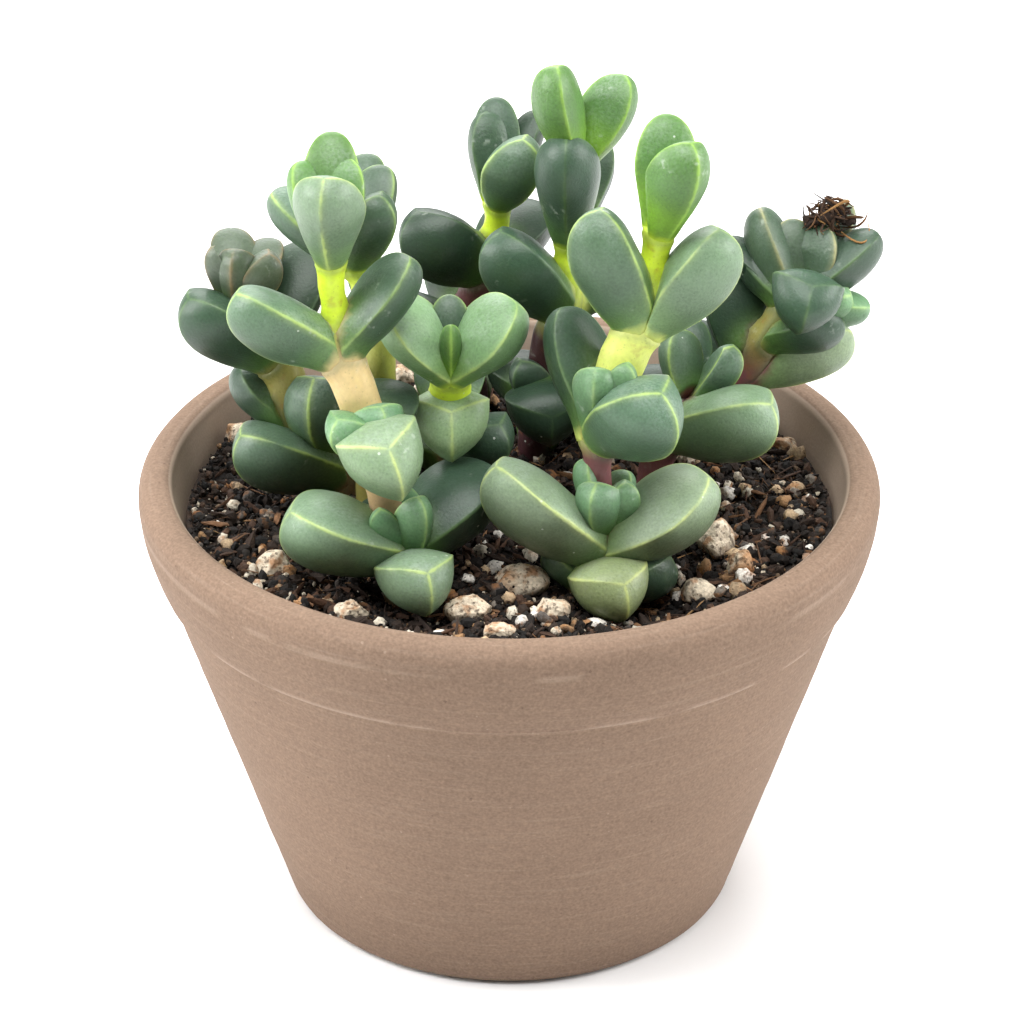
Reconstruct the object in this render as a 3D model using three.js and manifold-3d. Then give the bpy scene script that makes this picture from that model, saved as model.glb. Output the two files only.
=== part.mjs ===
// A potted corpuscularia lehmannii: nine leafy shoots of fat three-sided leaves, standing in gritty soil
// with loose stones, in a turned clay pot with a collar and a drain hole.
// Millimetres, +Z up. The origin is the middle of the pot's underside.

import * as THREE from "three";
import { mergeVertices } from "three/addons/utils/BufferGeometryUtils.js";
import Module from "manifold-3d";

const wasm = await Module();
wasm.setup();

// The pot.
const RIM_RADIUS = 57.5;
const POT_HEIGHT = 72.5;
const RIM_EDGE_ROUND = 3.4;
const RIM_INNER_RADIUS = 52.2;
const RIM_INNER_ROUND = 1.0;
const COLLAR_FOOT_RADIUS = 54.6;
const COLLAR_FOOT_HEIGHT = 57.2;
const COLLAR_BULGE = 0.5;
const COLLAR_STEP = 0.9;
const BASE_RADIUS = 35.3;
const FOOT_ROUND = 2.2;
const FLOOR_THICKNESS = 7;
const FLOOR_RADIUS = 30.5;
const DRAIN_RADIUS = 6;
const POT_SIDES = 48;

// The soil: a filling that stands clear of the pot by GAP.
const GAP = 0.4;
const SOIL_LEVEL = 66.0;
const SOIL_SECTORS = 32;
const SOIL_RINGS = 5;
const STEM_FOOT_HEIGHT = 56;
const STEM_HOLE_CLEARANCE = 0.6;
const STEM_HOLE_SIDES = 8;

// A leaf's section is a triangle with round sides between its two margins and its keel; its stations run
// from root to tip.
const TOP_CORNERS = 2;
const SIDE_CORNERS = 3;
const SMALL_SIDE_CORNERS = 2;
const MARGIN_SHARE = 0.3;
const AXIS_OVERLAP = 0.2;
const LEAF_STATIONS = [0, 0.24, 0.5, 0.74, 0.92];
const SMALL_LEAF_STATIONS = [0, 0.34, 0.66, 0.9];
const SMALL_LEAF_LENGTH = 14.6;
const STEM_SIDES = 7;
const STEM_STEPS_PER_NODE = 2;

// Each shoot: its stem as [x, y, z, radius] from the soil up, and its leaves as
// [stem point it grows from, compass angle, rise, length, width, depth to the keel, bend, roll].
const SHOOTS = [
  {
    name: "shoot_front_left",
    stem: [
      [-16.5, -24, 67.5, 2.6],
      [-15.5, -24, 71.5, 2.8],
      [-18.5, -23, 79, 2.2],
      [-20.3, -22, 88.3, 3],
      [-23, -21.5, 97.5, 3.2],
      [-25.5, -21, 103.5, 2.9],
      [-25.5, -20.5, 108, 1.6],
      [-26, -20, 113, 2],
      [-26, -20, 118, 1.9],
    ],
    leaves: [
      [0, 291, 26, 14, 12, 8.5, 10, 0],
      [0, 108, 35, 13, 11, 7, 10, 0],
      [1, 190, 24, 19, 15, 10, 8, 0],
      [1, 44, 24, 19, 13.5, 9.5, 10, 0],
      [1, 222, 60, 9.5, 5.5, 4.5, 0, 0],
      [1, 300, 70, 11, 6.2, 5, 5, 0],
      [1, 100, 72, 9.5, 6, 4.5, 5, 0],
      [3, 284, 22, 12, 12.5, 11, 18, -14],
      [3, 82, 18, 13, 12, 7, 10, 0],
      [3, 229, 42, 10, 8.5, 5.5, 10, 0],
      [3, 290, 62, 9, 8.5, 5, 10, 0],
      [5, 185, 33, 17.2, 11.5, 8, 8, -10],
      [5, 19, 48, 17.4, 11, 6.6, 6, 0],
      [5, 215, 62, 5, 3.5, 2.5, 5, 0],
      [5, 330, 60, 4.5, 3, 2.5, 5, 0],
      [8, 262, 73, 14.8, 10.9, 6.5, 14, 0],
      [8, 89, 60, 18.2, 8.4, 6, 10, 0],
      [8, 131, 61, 14.5, 7.5, 5, 10, 0],
      [8, 70, 64, 14.5, 8.5, 5, 10, 0],
    ],
  },
  {
    name: "shoot_left_inner",
    stem: [
      [-21, -3.5, 74, 2.6],
      [-20, -5, 90, 2.8],
      [-20.5, -5.5, 104, 2.4],
      [-23.5, -6.5, 111, 2],
    ],
    leaves: [
      [3, 163, 37, 15.6, 9.5, 5.5, 10, 0],
      [3, 325, 66, 13, 9, 6, 10, 0],
      [3, 78, 45, 17, 8, 5, 10, 0],
      [3, 56, 53, 15, 8, 5, 10, 0],
      [2, 136, 57, 5, 5, 4, 10, 0],
      [1, 146, 38, 11, 9, 6, 10, 0],
    ],
  },
  {
    name: "shoot_left",
    stem: [
      [-26, 4, 65, 2.6],
      [-26.5, 4, 70, 2.8],
      [-29, 4, 75.5, 3],
      [-33, 4, 79, 3],
      [-34.5, 4, 86, 3.2],
      [-37, 4, 90.5, 2.8],
      [-41, 4, 99, 2.2],
    ],
    leaves: [
      [1, 200, 29, 18, 13, 9, 10, -7],
      [1, 48, 15, 13, 10, 7, 10, 0],
      [2, 258, 72, 13, 12, 7, 10, 0],
      [3, 158, 41, 12, 11, 7, 10, 0],
      [5, 204, 42, 17, 13, 8, 12, -6],
      [5, 64, 40, 19, 11, 7, 10, 0],
      [6, 102, 35, 13, 7.5, 6, 10, 0],
      [6, 197, 70, 10.6, 6, 4, 10, 0],
      [6, 258, 77, 10, 6.8, 4.8, 10, 0],
      [6, 342, 61, 10, 8, 5, 10, 0],
      [6, 60, 32, 12, 7, 4.5, 10, 0],
    ],
  },
  {
    name: "shoot_centre",
    stem: [
      [-8.5, 0, 67, 2.6],
      [-8, 0, 74.5, 2.8],
      [-9, -4, 84.1, 3],
      [-8.9, -9.5, 91.2, 3.2],
      [-8.8, -12, 94.6, 1.8],
    ],
    leaves: [
      [1, 319, 44, 12, 11, 7, 15, 0],
      [1, 123, 0, 13, 11, 7, 10, 0],
      [2, 272, 27, 11.5, 11.8, 9.5, 15, 0],
      [2, 91, 18, 12, 11, 6, 10, 0],
      [4, 178, 51, 14.8, 12.4, 6.5, 12, 16],
      [4, 2, 49, 15.2, 12.8, 7, 12, -18],
      [4, 272, 82, 8.8, 3.2, 2.8, 2, 0],
      [4, 92, 62, 12, 6.4, 4, 8, 0],
    ],
  },
  {
    name: "shoot_back_centre",
    stem: [
      [4, 18, 68, 2.5],
      [5, 18, 76.5, 2.6],
      [6.5, 17, 87, 2.8],
      [9, 16, 92.5, 2.4],
      [9, 16, 98.5, 1.9],
      [9, 16, 104.5, 1.9],
      [10, 16, 111, 1.8],
      [10.5, 16, 117, 1.7],
    ],
    leaves: [
      [3, 190, 52, 17, 13, 9, 6, -12],
      [3, 59, 15, 17, 12, 8, 10, 0],
      [5, 266, 76, 19, 10.5, 7, 10, 0],
      [5, 70, 37, 18, 9, 6, 8, 0],
      [7, 200, 78, 16.6, 9, 6.5, 6, 35],
      [7, 30, 57, 15, 8.8, 6.3, 6, -20],
      [1, 233, 55, 9, 6, 5, 10, 0],
      [1, 278, 7, 12, 13.5, 8, 15, 0],
      [1, 122, 5, 12, 10, 7, 10, 0],
      [0, 55, 34, 15, 12, 7.5, 10, 0],
    ],
  },
  {
    name: "shoot_back",
    stem: [
      [-6.5, 26, 71, 2.8],
      [-7, 25, 84, 3],
      [-3.5, 24, 96, 2.6],
      [-2, 24, 102.5, 1.9],
      [-2, 24, 107, 1.8],
    ],
    leaves: [
      [2, 194, 42, 15, 11.9, 9.5, 4, -25],
      [2, 58, 15, 16, 12, 8, 12, 0],
      [2, 201, 62, 6, 4, 3, 5, 0],
      [4, 322, 66, 12.6, 10.5, 7, 12, 0],
      [4, 90, 60, 16, 7.5, 6, 10, 0],
      [4, 103, 66, 13.8, 8.3, 6, 10, -15],
      [4, 50, 48, 15.5, 5.5, 5, 10, 0],
      [0, 100, 22, 15, 12, 8, 10, 0],
      [1, 95, 32, 16, 12, 8, 10, 0],
      [1, 185, 20, 14, 11, 7.5, 10, 0],
    ],
  },
  {
    name: "shoot_front_right",
    stem: [
      [12, -24, 66.2, 2.6],
      [14, -24, 71.5, 2.6],
      [14, -23.2, 75.5, 2.2],
      [13.5, -22.5, 81, 1.9],
      [13, -22, 86, 2.1],
      [13.5, -20.5, 89.7, 2.9],
      [17, -19, 101, 3.6],
      [20, -18, 106.5, 3],
      [21, -17, 113.5, 2.1],
      [22, -16, 120.5, 2],
    ],
    leaves: [
      [0, 297, 22, 12.2, 12.4, 8.2, 15, 0],
      [0, 1, 17, 12.7, 11.2, 8.2, 10, 0],
      [0, 172, 42, 7.4, 7.2, 5, 10, 0],
      [1, 184, 42, 21.5, 15.4, 9, 4, -8],
      [1, 8, 34, 19.3, 16, 8.6, 4, -5],
      [2, 252, 68, 8.8, 7.6, 5.5, 8, 0],
      [2, 338, 64, 8.2, 6, 4.5, 8, 0],
      [2, 160, 76, 10.5, 6, 4, 8, 0],
      [2, 44, 53, 8.5, 5.5, 4, 8, 0],
      [5, 316, 40, 16, 13.5, 11, 15, 0],
      [5, 126, 60, 19, 11, 7, 8, -10],
      [5, 260, 70, 13, 8, 4.8, 8, 0],
      [5, 318, 68, 13.4, 6.6, 4.5, 8, 0],
      [7, 178, 69.5, 19, 10.8, 9, 6, -15],
      [7, 5, 53, 17.9, 11.5, 9, 6, 12],
      [9, 80, 67, 16.8, 9.3, 6, 8, -15],
      [9, 322, 70, 16, 10, 6.5, 12, 25],
    ],
  },
  {
    name: "shoot_right_inner",
    stem: [
      [22.5, 0, 72, 2.6],
      [24.5, 0, 79.5, 2.8],
      [27.5, 0, 84.5, 2.4],
    ],
    leaves: [
      [1, 338, 23, 18, 13.5, 10, 12, 10],
      [1, 160, 15, 15, 12, 8, 10, 0],
      [2, 135, 75, 11, 7.5, 5, 8, 0],
      [2, 3, 52, 11, 7, 5, 8, 30],
      [2, 87, 45, 13, 7, 5, 8, 0],
    ],
  },
  {
    name: "shoot_right",
    stem: [
      [22, 14, 70, 2.6],
      [30, 12, 79, 2.8],
      [37.5, 10, 84.5, 2.8],
      [40, 9, 91, 2.4],
      [44, 8, 97, 2.4],
    ],
    leaves: [
      [2, 5, 19, 16.8, 11, 6.8, 12, 25],
      [2, 108, 63, 17, 12.5, 8, 8, 0],
      [3, 340, 26, 12.5, 10.5, 6.5, 10, 0],
      [4, 283, 38, 10.4, 11.5, 8.5, 16, 20],
      [4, 128, 30, 13, 10, 7, 10, 0],
      [4, 131, 57, 15.5, 8.5, 6, 10, -30],
      [4, 96, 65, 12.8, 8, 5, 8, 0],
      [4, 50, 62, 12.8, 10.2, 4.5, 8, 0],
      [4, 52, 40, 18, 7.5, 5, 8, 0],
      [4, 15, 37, 16.5, 8.5, 6, 12, 0],
      [4, 358, -4, 11.6, 6.5, 5, 12, 0],
      [4, 342, 15, 9, 6, 5, 12, 0],
      [4, 145, 29, 15, 6, 4, 10, 0],
      [0, 80, 25, 15, 12, 8, 10, 0],
      [1, 95, 30, 14, 11, 7.5, 10, 0],
    ],
  },
];

// The dried flower over the right shoot: its stalk grows from the shoot, its head sits just above.
const FLOWER_SHOOT = "shoot_right";
const FLOWER_STALK = [
  [44, 8, 96],
  [46.5, 11, 103],
  [49.5, 12.5, 107.4],
];
const FLOWER_STALK_RADIUS = 0.9;
const FLOWER_HEAD_RADIUS = 2.4;
const FLOWER_FIBRES = 6;
const FLOWER_FIBRE_LENGTH = 5.2;
const FLOWER_FIBRE_RADIUS = 0.55;
const FLOWER_FIBRE_TILTS = [62, 36];
const FLOWER_FIBRE_SIDES = 4;

// Loose stones that lie half sunk in the soil: [x, y, length, breadth, height, turn].
const STONES = [
  [-35.5, -21.5, 5.5, 4.8, 4.5, 30],
  [-6, -34, 7, 5.4, 4.4, -15],
  [1.5, -25.5, 8.6, 6, 4.6, 10],
  [31.5, -13.5, 6.4, 5.6, 6, 60],
  [35, -21.5, 4.4, 4, 5, 20],
  [28.5, -25.5, 6, 5, 4, -40],
  [6.5, -35, 4.8, 4, 3.6, 0],
  [-23.5, -34.5, 5, 4, 3.8, 15],
  [-1.5, -41, 4.6, 3.4, 3.2, 5],
  [43.5, 19, 4.4, 4, 3.6, 35],
  [-43, 20.5, 4.8, 4, 3.8, -20],
  [-18, 42, 6, 4.6, 4.2, 50],
  [14, 41, 5, 4.4, 4, -30],
  [32.5, 32.5, 5.6, 4.6, 4, 15],
];

// Hollows in the soil where the lowest leaves press into it: [x, y, radius, depth].
const HOLLOWS = [
  [-14, -29.5, 7.5, 3.4],
  [-18, -19, 7, 1.6],
  [18.5, -25.5, 10, 5.8],
  [8, -23, 4, 1],
  [6, 22, 6, 2],
  [-30.5, 2, 6, 1.3],
  [-21.5, 9, 5, 1],
];

const DEGREE = Math.PI / 180;
const UP = new THREE.Vector3(0, 0, 1);
const ALONG_Y = new THREE.Vector3(0, 1, 0);

// A closed geometry from rings of points, each ring closed by a fan to the point before or after it.
function skin(rings, first, last) {
  const sides = rings[0].length;
  const points = [...rings.flat(), first, last];
  const start = points.length - 2;
  const end = points.length - 1;
  const faces = [];
  for (let side = 0; side < sides; side += 1) {
    const next = (side + 1) % sides;
    faces.push(start, next, side);
    for (let ring = 0; ring + 1 < rings.length; ring += 1) {
      const low = ring * sides;
      const high = low + sides;
      faces.push(low + side, low + next, high + next);
      faces.push(low + side, high + next, high + side);
    }
    const top = (rings.length - 1) * sides;
    faces.push(top + side, top + next, end);
  }
  const geometry = new THREE.BufferGeometry().setFromPoints(points);
  geometry.setIndex(faces);
  return geometry;
}

// A geometry as a solid that can be joined and cut.
function solidOf(geometry) {
  const bare = geometry.clone();
  for (const name of ["normal", "uv"]) {
    bare.deleteAttribute(name);
  }
  const merged = mergeVertices(bare, 1e-4);
  return new wasm.Manifold(
    new wasm.Mesh({
      numProp: 3,
      vertProperties: merged.getAttribute("position").array,
      triVerts: new Uint32Array(merged.getIndex().array),
    }),
  );
}

// A joined or cut solid as a geometry again.
function geometryOf(solid) {
  const mesh = solid.getMesh();
  const geometry = new THREE.BufferGeometry();
  geometry.setAttribute("position", new THREE.BufferAttribute(mesh.vertProperties, 3));
  geometry.setIndex(new THREE.BufferAttribute(mesh.triVerts, 1));
  geometry.computeVertexNormals();
  return geometry;
}

// A leaf's measure on its way from the start to its full value: fast at the root, level from fullAt on.
function swelling(station, start, full, fullAt) {
  return full - (full - start) * (1 - Math.min(station / fullAt, 1)) ** 1.5;
}

// How the leaf closes towards its tip: full up to closesFrom, then round down to nothing.
function closing(station, closesFrom, fullness, bluntness) {
  const run = Math.max((station - closesFrom) / (1 - closesFrom), 0);
  return (1 - run ** fullness) ** (1 / bluntness);
}

// The points round a leaf's section, as places across towards a margin and up from the centre line. The
// upper side runs from margin to margin over the arch; the lower sides run on to the keel and stand off
// their chords by the bulge, a share of their length. Each lower side has the given count of corners.
function sectionPoints(halfWidth, up, keel, arch, bulge, corners) {
  const right = new THREE.Vector2(halfWidth, up);
  const left = new THREE.Vector2(-halfWidth, up);
  const bottom = new THREE.Vector2(0, -keel);
  const over = new THREE.Vector2(0, up + 2 * arch);
  const standOff = new THREE.Vector2(-(keel + up), -halfWidth).multiplyScalar(2 * bulge);
  const lowerLeft = left.clone().add(bottom).multiplyScalar(0.5).add(standOff);
  const lowerRight = new THREE.Vector2(-lowerLeft.x, lowerLeft.y);
  const sides = [
    [right, over, left, TOP_CORNERS],
    [left, lowerLeft, bottom, corners],
    [bottom, lowerRight, right, corners],
  ];
  return sides.flatMap(([from, bend, to, count]) =>
    new THREE.QuadraticBezierCurve(from, bend, to).getPoints(count).slice(0, -1),
  );
}

// A leaf: a curved centre line that leaves the stem and bends outwards, with a three-sided section. It
// keeps to its own side of the stem's axis.
function leafGeometry(anchor, stemDirection, stemRadius, leaf) {
  const [, compass, rise, length, width, depth, bend, roll] = leaf;
  const outward = new THREE.Vector3(Math.cos(compass * DEGREE), Math.sin(compass * DEGREE), 0);
  const heading = (angle) =>
    outward
      .clone()
      .multiplyScalar(Math.cos(angle * DEGREE))
      .addScaledVector(UP, Math.sin(angle * DEGREE));
  const early = heading(rise + bend);
  const marginHeight = MARGIN_SHARE * depth;
  const below = heading(rise + bend + 90).multiplyScalar(-marginHeight);
  const centreLine = new THREE.CubicBezierCurve3(
    anchor.clone().addScaledVector(stemDirection, -0.4 * stemRadius),
    anchor
      .clone()
      .addScaledVector(stemDirection, 0.1 * stemRadius)
      .addScaledVector(early, 0.12 * length)
      .addScaledVector(below, 0.4),
    anchor
      .clone()
      .addScaledVector(early, 0.62 * length)
      .addScaledVector(below, 1.25),
    anchor.clone().addScaledVector(heading(rise), length),
  );
  const level = new THREE.Vector3().crossVectors(UP, outward);
  const ownSide = outward.clone().addScaledVector(stemDirection, -outward.dot(stemDirection)).normalize();
  const root = 0.98 * stemRadius;
  const isSmall = length < SMALL_LEAF_LENGTH;
  const stations = isSmall ? SMALL_LEAF_STATIONS : LEAF_STATIONS;
  const corners = isSmall ? SMALL_SIDE_CORNERS : SIDE_CORNERS;
  const rings = stations.map((station) => {
    const centre = centreLine.getPoint(station);
    const forward = centreLine.getTangent(station);
    const side = level.clone().addScaledVector(forward, -level.dot(forward)).normalize();
    const face = new THREE.Vector3().crossVectors(forward, side);
    side.applyAxisAngle(forward, -roll * DEGREE);
    face.applyAxisAngle(forward, -roll * DEGREE);
    const section = sectionPoints(
      swelling(station, 0.87 * root, width / 2, 0.66) * closing(station, 0.58, 2.3, 2.1),
      swelling(station, 0.5 * root, marginHeight, 0.6) * closing(station, 0.58, 2.3, 2.1),
      swelling(station, root, depth - marginHeight, 0.66) * closing(station, 0.64, 2.5, 2.2),
      swelling(station, 0.5 * root, 0.15 * width, 0.4) * closing(station, 0.5, 2.2, 2),
      swelling(station, 0.28, 0.17, 0.35),
      corners,
    );
    return section.map(({ x, y }) => {
      const point = centre.clone().addScaledVector(side, x).addScaledVector(face, y);
      const behind = -AXIS_OVERLAP - point.clone().sub(anchor).dot(ownSide);
      return point.addScaledVector(ownSide, Math.max(behind, 0));
    });
  });
  return skin(rings, centreLine.getPoint(0), centreLine.getPoint(1));
}

// A stem: a round section carried along a smooth curve through the shoot's points, rooted in the soil.
function stemGeometry(points, radii, curve) {
  const steps = (points.length - 1) * STEM_STEPS_PER_NODE;
  const rings = [];
  for (let step = 0; step <= steps; step += 1) {
    const along = step / steps;
    const centre = curve.getPoint(along);
    const forward = curve.getTangent(along);
    const side = new THREE.Vector3().crossVectors(forward, ALONG_Y).normalize();
    const back = new THREE.Vector3().crossVectors(forward, side);
    const place = step / STEM_STEPS_PER_NODE;
    const below = Math.min(Math.floor(place), radii.length - 2);
    const radius = THREE.MathUtils.lerp(radii[below], radii[below + 1], place - below);
    rings.push(
      Array.from({ length: STEM_SIDES }, (_, corner) => {
        const angle = (corner / STEM_SIDES) * 2 * Math.PI;
        return centre
          .clone()
          .addScaledVector(side, radius * Math.cos(angle))
          .addScaledVector(back, radius * Math.sin(angle));
      }),
    );
  }
  return skin(rings, curve.getPoint(0), curve.getPoint(1));
}

// The stem's points with the straight foot that stands in the soil, and their radii.
function stemLine(shoot) {
  const [x, y, , radius] = shoot.stem[0];
  const foot = [STEM_FOOT_HEIGHT, STEM_FOOT_HEIGHT + 8].map((z) => new THREE.Vector3(x, y, z));
  const points = [...foot, ...shoot.stem.map((point) => new THREE.Vector3(...point.slice(0, 3)))];
  const radii = [radius, radius, ...shoot.stem.map((point) => point[3])];
  return { points, radii, curve: new THREE.CatmullRomCurve3(points, false, "catmullrom", 0.5) };
}

// A shoot: its stem joined with all its leaves.
function shootSolid(shoot) {
  const { points, radii, curve } = stemLine(shoot);
  const pieces = [solidOf(stemGeometry(points, radii, curve))];
  const footPoints = points.length - shoot.stem.length;
  for (const leaf of shoot.leaves) {
    const index = leaf[0] + footPoints;
    const direction = curve.getTangent(index / (points.length - 1));
    pieces.push(solidOf(leafGeometry(points[index], direction, radii[index], leaf)));
  }
  if (shoot.name === FLOWER_SHOOT) {
    const stalk = FLOWER_STALK.map((point) => new THREE.Vector3(...point));
    const stalkRadii = stalk.map(() => FLOWER_STALK_RADIUS);
    pieces.push(solidOf(stemGeometry(stalk, stalkRadii, new THREE.CatmullRomCurve3(stalk))));
  }
  return wasm.Manifold.union(pieces);
}

// The dried flower: a squat seed head with stiff fibres standing out all round.
function flowerSolid() {
  const [x, y, z] = FLOWER_STALK[FLOWER_STALK.length - 1];
  const head = new THREE.IcosahedronGeometry(FLOWER_HEAD_RADIUS, 1);
  const pieces = [solidOf(head)];
  for (let fibre = 0; fibre < FLOWER_FIBRES; fibre += 1) {
    const spike = new THREE.ConeGeometry(FLOWER_FIBRE_RADIUS, FLOWER_FIBRE_LENGTH, FLOWER_FIBRE_SIDES);
    spike.translate(0, FLOWER_FIBRE_LENGTH / 2, 0);
    spike.rotateX(Math.PI / 2);
    spike.rotateY(FLOWER_FIBRE_TILTS[fibre % FLOWER_FIBRE_TILTS.length] * DEGREE);
    spike.rotateZ((fibre / FLOWER_FIBRES) * 2 * Math.PI);
    pieces.push(solidOf(spike));
  }
  return wasm.Manifold.union(pieces).translate([x, y, z + FLOWER_HEAD_RADIUS + GAP]);
}

// The pot's outline, from the drain hole round the outside and back down the inner wall.
function potGeometry() {
  const outline = new THREE.Path();
  outline.moveTo(DRAIN_RADIUS, 0);
  outline.lineTo(BASE_RADIUS - FOOT_ROUND, 0);
  outline.quadraticCurveTo(BASE_RADIUS, 0, BASE_RADIUS + 0.3 * FOOT_ROUND, FOOT_ROUND);
  outline.lineTo(COLLAR_FOOT_RADIUS - COLLAR_STEP, COLLAR_FOOT_HEIGHT - 0.3);
  outline.lineTo(COLLAR_FOOT_RADIUS, COLLAR_FOOT_HEIGHT);
  outline.quadraticCurveTo(
    (COLLAR_FOOT_RADIUS + RIM_RADIUS) / 2 + 2 * COLLAR_BULGE,
    (COLLAR_FOOT_HEIGHT + POT_HEIGHT - RIM_EDGE_ROUND) / 2,
    RIM_RADIUS,
    POT_HEIGHT - RIM_EDGE_ROUND,
  );
  outline.quadraticCurveTo(RIM_RADIUS, POT_HEIGHT, RIM_RADIUS - RIM_EDGE_ROUND, POT_HEIGHT);
  outline.lineTo(RIM_INNER_RADIUS + RIM_INNER_ROUND, POT_HEIGHT);
  outline.lineTo(RIM_INNER_RADIUS, POT_HEIGHT - RIM_INNER_ROUND);
  outline.lineTo(innerRadius(COLLAR_FOOT_HEIGHT), COLLAR_FOOT_HEIGHT);
  outline.lineTo(FLOOR_RADIUS, FLOOR_THICKNESS);
  outline.lineTo(DRAIN_RADIUS, FLOOR_THICKNESS);
  outline.lineTo(DRAIN_RADIUS, 0);
  return new THREE.LatheGeometry(outline.getPoints(3), POT_SIDES).rotateX(Math.PI / 2);
}

// The pot's inner wall: steep behind the collar, then along the outside down to the floor.
function innerRadius(height) {
  const shoulder = 49;
  if (height >= COLLAR_FOOT_HEIGHT) {
    const up = (height - COLLAR_FOOT_HEIGHT) / (POT_HEIGHT - RIM_INNER_ROUND - COLLAR_FOOT_HEIGHT);
    return THREE.MathUtils.lerp(shoulder, RIM_INNER_RADIUS, up);
  }
  const up = (height - FLOOR_THICKNESS) / (COLLAR_FOOT_HEIGHT - FLOOR_THICKNESS);
  return THREE.MathUtils.lerp(FLOOR_RADIUS, shoulder, up);
}

// The soil's uneven top: long and short waves, lower against the wall.
function soilHeight(x, y) {
  const long = 0.5 * Math.sin(0.19 * x + 0.7) * Math.cos(0.16 * y - 0.4);
  const short = 0.3 * Math.sin(0.55 * x - 0.31 * y) + 0.25 * Math.cos(0.43 * y + 0.6 * x);
  const sunk = HOLLOWS.reduce(
    (sum, [hx, hy, radius, depth]) => sum + depth * Math.exp(-((x - hx) ** 2 + (y - hy) ** 2) / radius ** 2),
    0,
  );
  return SOIL_LEVEL + long + short - sunk;
}

// The soil's filling: its top falls on rings round the middle, its side follows the inner wall.
function soilGeometry() {
  const bottom = FLOOR_THICKNESS + GAP;
  const ringAt = (radius, height) =>
    Array.from({ length: SOIL_SECTORS }, (_, sector) => {
      const angle = (sector / SOIL_SECTORS) * 2 * Math.PI;
      const x = radius * Math.cos(angle);
      const y = radius * Math.sin(angle);
      return new THREE.Vector3(x, y, height ?? soilHeight(x, y));
    });
  const wallTop = innerRadius(SOIL_LEVEL - 1.5) - GAP;
  const rings = [
    ringAt(FLOOR_RADIUS - GAP, bottom),
    ringAt(innerRadius(COLLAR_FOOT_HEIGHT) - GAP, COLLAR_FOOT_HEIGHT),
    ringAt(wallTop, SOIL_LEVEL - 1.5),
  ];
  for (let ring = SOIL_RINGS; ring > 0; ring -= 1) {
    rings.push(ringAt((wallTop - 0.3) * (ring / SOIL_RINGS)));
  }
  const middle = new THREE.Vector3(0, 0, bottom);
  return skin(rings, middle, new THREE.Vector3(0, 0, soilHeight(0, 0)));
}

// A stone: a ball with few faces, pressed to its own sizes and knocked about by a smooth formula.
function stoneGeometry([x, y, length, breadth, height, turn], growth) {
  const geometry = new THREE.IcosahedronGeometry(1, 1);
  const points = geometry.getAttribute("position");
  const spot = new THREE.Vector3();
  for (let index = 0; index < points.count; index += 1) {
    spot.fromBufferAttribute(points, index);
    const knock = 1 + 0.14 * Math.sin(3.1 * spot.x + x) * Math.cos(2.7 * spot.y + y) + 0.1 * Math.sin(4 * spot.z + x);
    spot.multiplyScalar(knock);
    spot.set((spot.x * length) / 2, (spot.y * breadth) / 2, (spot.z * height) / 2);
    spot.addScaledVector(spot.clone().normalize(), growth);
    points.setXYZ(index, spot.x, spot.y, spot.z);
  }
  geometry.rotateZ(turn * DEGREE);
  geometry.translate(x, y, soilHeight(x, y) + 0.2 * height);
  return geometry;
}

// A plain round hole for a stem's foot.
function stemHole(shoot) {
  const [x, y, , radius] = shoot.stem[0];
  const circle = new THREE.Shape();
  circle.absarc(0, 0, radius + STEM_HOLE_CLEARANCE, 0, 2 * Math.PI);
  const hole = new THREE.ExtrudeGeometry(circle, {
    depth: 20,
    bevelEnabled: false,
    curveSegments: STEM_HOLE_SIDES,
  });
  hole.translate(x, y, STEM_FOOT_HEIGHT - GAP);
  return solidOf(hole);
}

const clay = { color: 0x9c8474, roughness: 0.95, metalness: 0 };
const earth = { color: 0x241d18, roughness: 1, metalness: 0 };
const pumice = { color: 0xcfc3ac, roughness: 0.9, metalness: 0 };
const straw = { color: 0x4a3524, roughness: 1, metalness: 0 };
const foliage = { color: 0x5f8a6c, roughness: 0.6, metalness: 0 };

function named(name, geometry, finish) {
  const mesh = new THREE.Mesh(geometry, new THREE.MeshStandardMaterial(finish));
  mesh.name = name;
  return mesh;
}

const plant = new THREE.Group();
let soil = solidOf(soilGeometry());
for (const shoot of SHOOTS) {
  soil = soil.subtract(stemHole(shoot));
  plant.add(named(shoot.name, geometryOf(shootSolid(shoot)), foliage));
}

plant.add(named("dried_flower", geometryOf(flowerSolid()), straw));

const stones = new THREE.Group();
STONES.forEach((stone, index) => {
  soil = soil.subtract(solidOf(stoneGeometry(stone, GAP)));
  stones.add(named(`stone_${index + 1}`, stoneGeometry(stone, 0), pumice));
});

const pottedPlant = new THREE.Group();
pottedPlant.add(named("pot", potGeometry(), clay));
pottedPlant.add(named("soil", geometryOf(soil), earth));
pottedPlant.add(stones);
pottedPlant.add(plant);

export default pottedPlant;
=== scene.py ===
"""The looks of a potted corpuscularia lehmannii: a turned clay pot, gritty soil and nine leafy shoots.

The tables give millimetres. Every mesh is made in metres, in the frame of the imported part: +Z up, the
origin in the middle of the pot's underside, the photographed side towards -Y.
"""

import logging
import math
from collections.abc import Mapping, Sequence
from dataclasses import dataclass, field
from enum import Enum
from typing import NamedTuple

import bmesh
import bpy
import numpy as np
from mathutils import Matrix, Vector
from numpy.typing import NDArray


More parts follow.
